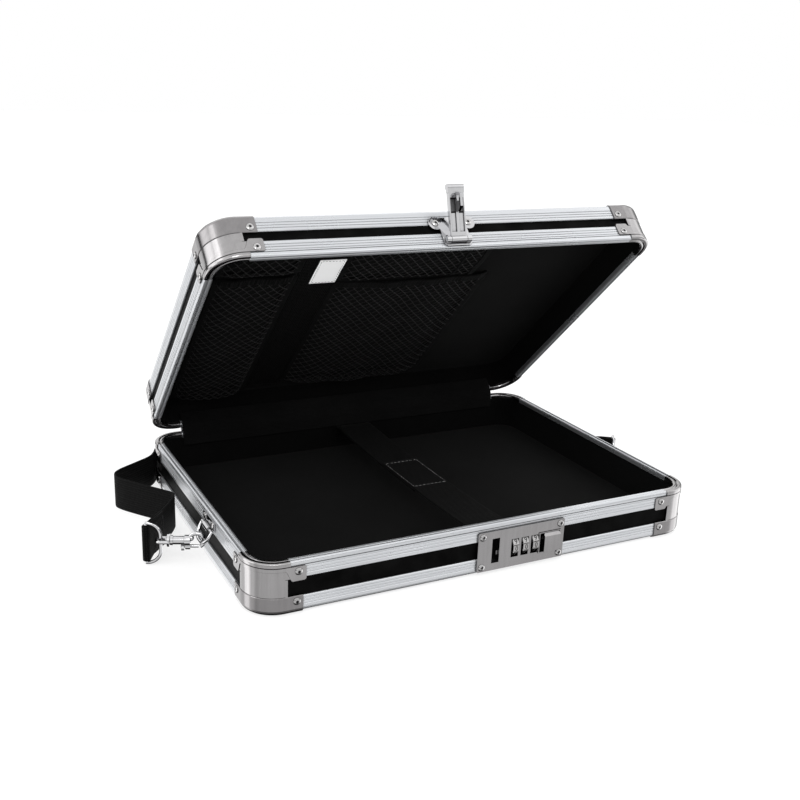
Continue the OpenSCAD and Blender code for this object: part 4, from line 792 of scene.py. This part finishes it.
# Where each band ends along Y, and where the patch sewn on the upper one begins and ends.
REAR_END, FRONT_END, PATCH = -30.0, 28.0, (-27.0, 24.5)
LIFT_OVER = HOLD_T + 0.15


def sag(y):
    """Height of the band at y: TOP at the walls and SAG lower in the middle, a parabola."""
    return TOP - SAG * (1 - ((y - MID) / HALF) ** 2)


def band(name, wall, inward, end, raised, steps):
    """One band: up its wall, over the corner, then along the sag to its end. inward is 1
    or -1, the way along Y from the wall to the middle."""
    corner = [(wall, 13), (wall, 21), (wall + 2.5 * inward, 26.4 + raised)]
    y = np.linspace(wall + 6 * inward, end, steps + 1)[1:]
    points = np.vstack([corner, np.column_stack([y, sag(y) + raised])])
    path = smooth_path(np.column_stack([np.full(len(points), HOLD_X), points]), 6) * MM
    shape = tape_outline(HOLD_W * MM, HOLD_T * MM, 24)
    made = strip(name, path, (1, 0, 0), shape, elastic, "case", "webbing")
    return made


elastic = webbing("elastic_black", grey(0.0006), grey(0.007), column=0.0011, row=0.0021, slant=0.0)
rear_band = band("hold_down_rear_elastic", BACK, -1, REAR_END, 0.0, 6)
front_band = band("hold_down_front_elastic", FRONT, 1, FRONT_END, LIFT_OVER, 7)
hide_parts("hold_down_rear")
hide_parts("hold_down_front")
edge_x = HOLD_X + np.array([-1, 1]) * (HOLD_W / 2 - 2.2)


def on_band(x, y):
    """Points on top of the front band."""
    x, y = np.broadcast_arrays(np.asarray(x, float), np.asarray(y, float))
    return np.stack([x, y, sag(y) + LIFT_OVER + HOLD_T / 2], axis=-1) * MM


patch_y = np.linspace(PATCH[1], PATCH[0], 30)
patch = [on_band(edge_x[0], patch_y), on_band(edge_x[1], patch_y),
         on_band(edge_x, PATCH[1]), on_band(edge_x, PATCH[0])]
pale_thread = Finish("pale_thread", grey(0.2), roughness=0.5)
pale_thread.mottle(700.0, 0.04, 0.34, (0.4, 0.65))
stitches("hold_down_stitches", patch, (0, 0, 1), pale_thread, "case", "webbing")
print("hold-down strap made")

# %% [markdown]
# ## Netting
# The organiser's pockets are black nylon net with honeycomb cells about 4 mm across. A net
# this open is geometry: a picture of holes would not stand off the lining. It is made the
# way a knitting machine makes it, from upright threads that swing from side to side and
# meet their neighbours in turn. `net` works on any surface that is given as a function of
# two lengths: x across the pocket and s from its mouth to its foot.

# %% Net helpers
# Millimetres on the shut lid: the organiser's left side and front, the line of its sewn
# front edge and that of the mouths, and the widths of its three columns.
ORG_X = -180 + 21.0
ORG_Y = -132 + 5.6
SEWN_Y = ORG_Y + 8
MOUTH_Y = -132 + 66.0
NARROW, RIBBED, WIDE = 61.0, 33.0, 134.0
DIV_X = ORG_X + NARROW + 1
WIDE_X = DIV_X + RIBBED + 1
CELL_W, CELL_H, THREAD = 3.7, 4.0, 0.34


def pocket_line(y0, y1, mouth, deep):
    """Distance off the lid's lining against y: from the mouth's height up to the full depth,
    then round the foot and down to the lining."""
    y = np.array([y0, y0 + (y1 - y0) * 0.5, y1 - deep * 0.8, y1 - 1, y1])
    h = np.array([mouth, deep * 0.8, deep, deep * 0.55, 0.7])
    line = smooth_path(np.column_stack([y, h]), 16)
    return line, along(line)


def pocket_surface(x0, width, line, length, slack):
    """Point of the pocket at x and s. Its middle stands the full height off the lining and
    its sides curve down to it; slack adds soft unevenness."""

    def at(x, s):
        y = np.interp(s, length, line[:, 0])
        h = np.interp(s, length, line[:, 1])
        across = np.abs(2 * (x - x0) / width - 1)
        h = 0.8 + (h - 0.8) * (1 - across**5)
        dents = 0.5 + 0.5 * np.sin(x * 0.11 + s * 0.05) * np.sin(s * 0.07 - x * 0.03)
        h = h - slack * dents * (1 - across**2)
        return on_lid(x * MM, y * MM, LINING_TOP + np.maximum(h, 0.5) * MM)

    return at


def net(name, x0, width, at, length):
    """Threads side by side; each swings half a cell to the left and right, and its
    neighbour swings the other way, so that they meet and leave honeycomb holes."""
    count = int(width / CELL_W)
    pitch = width / count
    s = np.arange(0, length + CELL_H / 8, CELL_H / 4)
    swing = np.clip(1.5 * (2 * np.abs((s / (2 * CELL_H)) % 1 * 2 - 1) - 1), -1, 1)
    i = np.arange(count)
    away = np.where(i % 2 == 0, 1, -1)[:, None]
    x = x0 + (i[:, None] + 0.5) * pitch + away * swing[None] * (pitch / 2 - THREAD * 0.7)
    s = np.broadcast_to(s[None], x.shape)
    points, faces = tubes(at(x, s), AWAY, THREAD)
    return piece(name, points, faces, net_yarn, "lid", "mesh")


def trim(name, points, width, thick, finish, slot="elastic", raise_by=0.0):
    """A flat tape along a line of points on the lid, raised by so much off that line."""
    path = np.asarray(points, float)
    step = unit(np.gradient(path, axis=0))
    across = unit(np.cross(AWAY, step))
    shape = tape_outline(width * MM, thick * MM, 8)
    up = unit(np.cross(step, across))
    rows = (path[:, None] + shape[None, :, :1] * across[:, None]
            + (shape[None, :, 1:] + raise_by * MM) * up[:, None])
    return piece(name, rows, carried(rows), finish, "lid", slot, cloth_uv(path, shape))


net_yarn = Finish("net_yarn", grey(0.03), roughness=0.45)
twist = net_yarn.mottle(2500.0, 0.004, 0.02, (0.35, 0.7), detail=2.0)
net_yarn.set("Specular IOR Level", 0.2)
net_yarn.set("Sheen Weight", 0.04)
net_yarn.bump(twist, 0.4, 0.0002)
AWAY = on_lid(0, 0, 1) - on_lid(0, 0, 0)
binding = webbing("binding_black", grey(0.001), grey(0.006), column=0.0009, row=0.0011, slant=0.0)
print("net helpers ready")

# %% [markdown]
# ## The pockets
# Each pocket is a net on its own slack surface, with a flat tape sewn down its sides and
# foot and an elastic binding folded over its mouth. The binding gathers the net, so its
# edge runs in small waves.

# %% Three pockets


def pocket(name, x0, width, y0, y1, mouth, deep, slack):
    """Net, side tapes, foot tape and mouth binding of one pocket, from its mouth at y0 to
    its foot at y1."""
    line, length = pocket_line(y0, y1, mouth, deep)
    at = pocket_surface(x0, width, line, length, slack)
    total = length[-1]
    made = net(name + "_net", x0, width, at, total)
    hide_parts(name)
    s = np.linspace(0, total, 60)
    for label, x in (("left", x0 + 1.5), ("right", x0 + width - 1.5)):
        trim(f"{name}_tape_{label}", at(np.full(60, x), s), 6.0, 0.9, binding, raise_by=0.3)
    x = np.linspace(x0, x0 + width, 90)
    trim(f"{name}_tape_foot", at(x, np.full(90, total - 1.0)), 5.0, 0.9, binding, raise_by=0.5)
    ruffle = 0.35 * np.sin(x * 1.9) + 0.2 * np.sin(x * 4.1 + 1)
    mouth_line = at(x, np.full(90, 2.0)) + AWAY * (ruffle * MM)[:, None]
    trim(f"{name}_binding", mouth_line, 8.0, 1.7, binding)
    return made


FOOT_Y = MOUTH_Y + 182
pockets = [
    pocket("pocket_small", ORG_X, NARROW, SEWN_Y, MOUTH_Y - 4, 5.0, 6.0, 0.8),
    pocket("pocket_left", ORG_X, NARROW, MOUTH_Y, FOOT_Y, 6.0, 12.0, 2.5),
    pocket("pocket_right", WIDE_X, WIDE, MOUTH_Y + 14, FOOT_Y - 8, 6.0, 12.0, 3.0),
]
print("pockets:", [len(o.data.polygons) for o in pockets], "faces")

# %% [markdown]
# ## The pen sleeve
# In front of the big pocket's mouth lies a low sleeve for pens. The net is sewn down along
# both its long edges, closed at the divider and by a seam near the far end, and open at its
# right end, so its surface is one low arch carried along X.

# %% Pen sleeve
PENS_W = 116.0
PENS_ARCH = np.array([
    (SEWN_Y, 0.6), (SEWN_Y + 5, 4.2), ((SEWN_Y + MOUTH_Y + 12) / 2, 6.0),
    (MOUTH_Y + 7, 4.2), (MOUTH_Y + 12, 0.6),
])
pens_line = smooth_path(PENS_ARCH, 16)
pens_length = along(pens_line)


def pens_at(x, s):
    """Point of the sleeve at x and s, where s runs over the arch from its front edge. The
    arch is low at the closed end and rises in the first 12 mm; pens leave soft bulges."""
    y, h = (np.interp(s, pens_length, pens_line[:, i]) for i in (0, 1))
    h = 0.7 + (h - 0.7) * np.clip((x - WIDE_X) / 12, 0.15, 1)
    h = h * (0.9 + 0.1 * np.sin(x * 0.13) * np.sin(s * 0.21))
    return on_lid(x * MM, y * MM, LINING_TOP + np.maximum(h, 0.5) * MM)


pens_total = pens_length[-1]
pens = net("pen_sleeve_net", WIDE_X, PENS_W, pens_at, pens_total)
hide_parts("pocket_right")
across_x = np.linspace(WIDE_X, WIDE_X + PENS_W, 70)
for label, s in (("front", 1.5), ("rear", pens_total - 1.5)):
    trim(f"pen_sleeve_tape_{label}", pens_at(across_x, np.full(70, s)), 5.0, 0.9, binding, raise_by=0.5)
over_s = np.linspace(0, pens_total, 40)
for label, x, wide in (("closed", WIDE_X + 2, 4.0), ("seam", WIDE_X + PENS_W - 18, 2.4),
                       ("open", WIDE_X + PENS_W - 1, 5.0)):
    trim(f"pen_sleeve_tape_{label}", pens_at(np.full(40, x), over_s), wide, 0.9, binding, raise_by=0.4)
print("pen sleeve", len(pens.data.polygons), "faces")

# %% [markdown]
# ## The ribbed divider and the label
# Between the pockets runs a broad band of ribbed elastic. The ribs are real relief: the
# band's outline is a row of small arches. At its top a plain white label is sewn on.

# %% Divider and label
RIBS = 22
w = np.linspace(-RIBBED / 2, RIBBED / 2, 181)
arches = 1.15 + 0.45 * np.abs(np.sin(w / RIBBED * RIBS * math.pi)) ** 0.7
div_shape = np.vstack([np.column_stack([w, np.full(181, 0.05)]), np.column_stack([w, arches])[::-1]]) * MM
div_y = np.linspace(SEWN_Y, FOOT_Y, 60)
div_path = on_lid((DIV_X + RIBBED / 2) * MM, div_y * MM, LINING_TOP)
div_rows = (div_path[:, None] + div_shape[None, :, :1] * np.array([1.0, 0, 0])
            + div_shape[None, :, 1:] * AWAY)[:, ::-1]
divider = piece("pocket_divider_ribbed", div_rows, carried(div_rows), elastic, "lid", "elastic",
                cloth_uv(div_path, div_shape)[:, ::-1])
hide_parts("pocket_divider")
LABEL_X = (DIV_X + RIBBED - 20.5, DIV_X + RIBBED + 0.5)
LABEL_Y = (ORG_Y + 42.4, ORG_Y + 42.4 + 31)
card_y = np.linspace(*LABEL_Y, 24)
card_depth = LINING_TOP + (1.8 + 0.12 * np.sin(np.linspace(0, 9, 24))) * MM
card = trim("label_card", on_lid(sum(LABEL_X) / 2 * MM, card_y * MM, card_depth),
            LABEL_X[1] - LABEL_X[0], 0.45, paper_painted_glow, slot="label_white")
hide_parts("blank_label")
inset = 1.4
label_x = np.linspace(LABEL_X[0] + inset, LABEL_X[1] - inset, 12) * MM
label_y = np.linspace(LABEL_Y[0] + inset, LABEL_Y[1] - inset, 12) * MM
label_top = LINING_TOP + 2.05 * MM
hem = [on_lid(x, label_y, label_top) for x in label_x[[0, -1]]]
hem += [on_lid(label_x, y, label_top) for y in label_y[[0, -1]]]
stitches("label_stitches", hem, AWAY, thread, "lid", "elastic", long=1.8, gap=0.9, thread=0.3)
print("divider and label made")

# %% [markdown]
# ## The cloth over the hinge
# A strip of black cloth hides the hinge from inside. Its lower edge is glued to the base and
# its upper edge to the lid, so it cannot ride on one body: it is blended across the joint,
# as one fixed strip from the base's edge, over a soft fold, to the lid's edge where it stands.

# %% Hinge cover
COVER_W, COVER_T, COVER_Y = 306 * MM, 0.8 * MM, 132 - 6.1 - 0.8
low_edge = np.array([(0, COVER_Y, z) for z in (27, 34, 37.5)]) * MM
high_edge = opened(np.array([(0, COVER_Y, z) for z in (38.9, 42.4, 49.4)]) * MM)
fold = (low_edge[-1] + high_edge[0]) / 2 + np.array([0, -0.3, 0.5]) * MM
cover_path = smooth_path(np.vstack([low_edge, fold, high_edge]), 8)
cover = strip("hinge_cover_cloth", cover_path, (1, 0, 0), tape_outline(COVER_W, COVER_T, 60),
              cover_cloth, None, "lining")
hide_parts("hinge_cover")
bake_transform(cover)
print("hinge cover made")

# %% [markdown]
# ## Dial wheels
# A dial is a ten-sided wheel with a notch at each corner, so a finger can turn it. Seen
# from the front it does not fill its window: it sits to the right and leaves a dark gap on
# its left. A wheel is one outline, repeated along the axis and a little smaller at its two
# ends, and narrow jambs trim the windows to the wheels.

# %% Wheels and window jambs
DIAL_X = [16.2, 24.6, 33.0]
DIAL_Y, DIAL_Z, FLAT = -126.9, 16.7, 8.235
WHEEL_W, WHEEL_IN, BEVEL = 5.0, 0.6, 0.3
NOTCH, NOTCH_FROM = 0.55, 0.44
JAMB_W = 0.7
WINDOW_HALF, WINDOW_HIGH, PLATE_FRONT, PLATE_BACK = 3.1, 7.1, -133.5, -132.2


def wheel_rows(dial_x):
    """Outlines along the axis. At angle a the outline's radius is FLAT over the cosine of
    the angle from the nearest flat's middle, less the notch's depth near a corner."""
    a = np.arange(240) / 240 * 2 * math.pi
    off = (a / (2 * math.pi) * 10 + 0.5) % 1 - 0.5
    radius = FLAT / np.cos(off * math.radians(36)) - NOTCH * (np.abs(off) > NOTCH_FROM)
    half = WHEEL_W / 2
    ends = [(-half, -BEVEL), (BEVEL - half, 0), (half - BEVEL, 0), (half, -BEVEL)]
    return np.stack([np.column_stack([
        np.full(240, dial_x + WHEEL_IN + x), DIAL_Y - (radius + less) * np.cos(a),
        DIAL_Z + (radius + less) * np.sin(a)]) for x, less in ends]) * MM


def boxes(lows, highs):
    """Points and faces of upright boxes between their low and high corners."""
    pick = np.array([[i & 1, i >> 1 & 1, i >> 2 & 1] for i in range(8)])
    points = np.asarray(lows)[:, None] * (1 - pick) + np.asarray(highs)[:, None] * pick
    sides = np.array([
        (0, 2, 3, 1), (4, 5, 7, 6), (0, 1, 5, 4), (2, 6, 7, 3), (0, 4, 6, 2), (1, 3, 7, 5)])
    return points, (sides[None] + 8 * np.arange(len(points))[:, None, None]).reshape(-1, 4).tolist()


jambs = []
for k, dial_x in enumerate(DIAL_X):
    rows = wheel_rows(dial_x)
    wheel = piece(f"dial_{k + 1}_faceted", rows, carried(rows), dial_finish, f"dial_{k + 1}_wheel",
                  "lock_zinc", smooth=False)
    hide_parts(f"dial_{k + 1}")
    jambs += [dial_x - WINDOW_HALF - JAMB_W, dial_x + WINDOW_HALF]
points, faces = boxes([(x, PLATE_FRONT + 0.02, DIAL_Z - WINDOW_HIGH) for x in jambs],
                      [(x + JAMB_W, PLATE_BACK, DIAL_Z + WINDOW_HIGH) for x in jambs])
piece("dial_window_jambs", points * MM, faces, lock_finish, "case", "lock_zinc", smooth=False)
print("three wheels,", len(rows[0]), "points round")

# %% [markdown]
# ## Dark spots on the rivets
# Each domed rivet head mirrors something dark at its pole, so a small near-black dish sits
# there: a painted reflection. The head's highest point is its pole, so the spot is found from
# the solid itself: the point of each rivet that stands furthest out of the wall.

# %% Painted reflection spots
RIVET_ACROSS, RIVET_PROUD = 7 * MM, 0.8 * MM
# The dish's section, as distances from its axis and off the rivet's pole.
SPOT_SECTION = np.array([(0.02, 0.05), (0.6, 0.045), (0.95, 0.0), (1.1, -0.12), (0.02, -0.2)])


def heads(points):
    """Poles of the rivets in the walls, with their outward directions: the cloud of points
    is split into rivets, and each one's furthest point out is kept."""
    found = []
    out = np.maximum(np.abs(points[:, 0]) - HALF_W, np.abs(points[:, 1]) - HALF_D)
    left = np.ones(len(points), bool)
    while left.any():
        first = points[np.flatnonzero(left)[0]]
        near = left & (np.linalg.norm(points - first, axis=1) < RIVET_ACROSS)
        left &= ~near
        top = points[near][np.argmax(out[near])]
        if out[near].max() > RIVET_PROUD:
            wall = np.sign(top) * ((1, 0, 0) if abs(top[0]) > HALF_W else (0, 1, 0))
            found.append((top, wall))
    return found


def dimples(name, node, body, on_the_lid):
    """A shallow near-black dish, a painted reflection, on the pole of every rivet of a node."""
    mesh = nodes[node].data
    points = np.empty(len(mesh.vertices) * 3)
    mesh.vertices.foreach_get("co", points)
    points = points.reshape(-1, 3)
    if on_the_lid:
        points = swing(points, HINGE_Y, HINGE_Z, LID_OPEN)
    a = np.arange(14) / 14 * 2 * math.pi
    dishes = []
    for top, wall in heads(points):
        circle = np.outer(np.cos(a), np.cross([0, 0, 1], wall)) + np.outer(np.sin(a), [0, 0, 1])
        rows = top + (SPOT_SECTION[:, :1, None] * circle[None] + SPOT_SECTION[:, 1:, None] * wall) * MM
        rows = opened(rows) if on_the_lid else rows
        dishes.append((rows.reshape(-1, 3), carried(rows)))
    print(name, len(dishes), "dimples")
    return piece(name, *joined(dishes), painted_dark, body, "steel_plain")


# Near-black metal: a painted reflection on the rivet heads and painted shade at the ends of the hasp's
# channels.
painted_dark = nickel("painted_dark_reflection_and_shade", (0.012, 0.012, 0.012), (0.035, 0.035, 0.036), 0.25)
dimples("base_rivet_painted_reflections", "base_rivets", "case", False)
dimples("lid_rivet_painted_reflections", "lid_rivets", "lid", True)
dimples("lock_screw_painted_reflections", "lock_screws", "case", False)

# %% [markdown]
# ## The hasp's channels
# The hasp's lever is ribbed on its inner side. Thin dark plates line its two channels, and
# near-black ones sit at their ends: painted shade in the recesses. They are easiest to place on
# the lever as it hangs when shut, and are then turned with it and with the lid.

# %% Channels
HASP_Y, HASP_Z, HASP_UP = -134.8, 43.4, math.radians(-151)


def on_hasp(points):
    """Points of the lever where it stands, from where they are when it hangs down shut."""
    return opened(swing(points, HASP_Y, HASP_Z, HASP_UP) * MM)


# Dark metal for the plates in the hasp's channels: painted shade.
painted_channel_shade = nickel("painted_channel_shade", (0.10, 0.10, 0.102), (0.17, 0.17, 0.172), 0.3)
CHANNEL_X, CHANNEL_Y, CHANNEL_W = (-5.2, 1.2), -135.0, 4.0


def channel(name, starts, high, thick, finish):
    """Thin plates of painted shade in both channels, each as high as given from its start."""
    low = np.array([(x, CHANNEL_Y, z) for z in starts for x in CHANNEL_X])
    points, faces = boxes(low, low + [CHANNEL_W, thick, high])
    piece(name, on_hasp(points), faces, finish, "hasp", "steel_bright", smooth=False)


channel("hasp_channel_painted_shade", [15.6], 8.4, 0.12, painted_channel_shade)
channel("hasp_channel_end_painted_shade", [14.5, 24.0], 1.2, 0.14, painted_dark)
print("hasp's channels lined")

# %% [markdown]
# ## Numbers on the dials
# Each dial has ten flats, numbered 0 to 9. A number starts as a text curve, becomes a mesh,
# and is then turned about the dial's axis to its own flat. All ten of a dial are one piece.

# %% Dial numbers


def numeral(text, size):
    """Outline of a numeral as points and faces, centred, in millimetres."""
    curve = bpy.data.curves.new("numeral", "FONT")
    curve.body = text
    curve.size = size
    curve.align_x, curve.align_y = "CENTER", "CENTER"
    curve.extrude = 0.05
    curve.offset = 0.08
    holder = bpy.data.objects.new("numeral", curve)
    bpy.context.scene.collection.objects.link(holder)
    shape = bpy.data.meshes.new_from_object(holder.evaluated_get(bpy.context.evaluated_depsgraph_get()))
    points = np.empty(len(shape.vertices) * 3)
    shape.vertices.foreach_get("co", points)
    faces = [list(p.vertices) for p in shape.polygons]
    bpy.data.objects.remove(holder)
    bpy.data.curves.remove(curve)
    bpy.data.meshes.remove(shape)
    points = points.reshape(-1, 3)
    points[:, :2] -= (points[:, :2].max(0) + points[:, :2].min(0)) / 2
    return points, faces


ink = Finish("dial_ink", (0.02, 0.02, 0.022), roughness=0.5)
ink.mottle(900.0, 0.012, 0.035)
numerals = [numeral(str(d), 5.0) for d in range(10)]
for k, dial_x in enumerate(DIAL_X):
    turned = []
    for d, (points, faces) in enumerate(numerals):
        a = math.radians(-36 * d)
        x, up, out = points[:, 0], points[:, 1], points[:, 2] + FLAT
        turned.append((np.column_stack([
            dial_x + WHEEL_IN + x,
            DIAL_Y - (out * math.cos(a) - up * math.sin(a)),
            DIAL_Z + out * math.sin(a) + up * math.cos(a),
        ]) * MM, faces))
    made = piece(f"dial_{k + 1}_numbers", *joined(turned), ink, f"dial_{k + 1}_wheel",
                 "housing_black", smooth=False)
print("numbers on three dials,", len(made.data.vertices), "points each")

# %% [markdown]
# ## The floor
# A wide pale sheet catches the soft shadow. It is lit from below, as a light table is, so
# the shadow stays faint.

# %% Floor
floor_mesh = bpy.data.meshes.new("floor")
r = 6.0
floor_mesh.from_pydata([(-r, -r, 0), (r, -r, 0), (r, r, 0), (-r, r, 0)], [], [(0, 1, 2, 3)])
floor = bpy.data.objects.new("floor", floor_mesh)
bpy.context.scene.collection.objects.link(floor)
paint = Finish("floor_paint", grey(0.3), roughness=0.75)
paint.mottle(3.0, 0.295, 0.305)
paint.set("Emission Color", WHITE)
paint.set("Emission Strength", 0.72)
floor_mesh.materials.append(paint.material)
floor.visible_glossy = False
print("floor laid")

# %% [markdown]
# ## The end
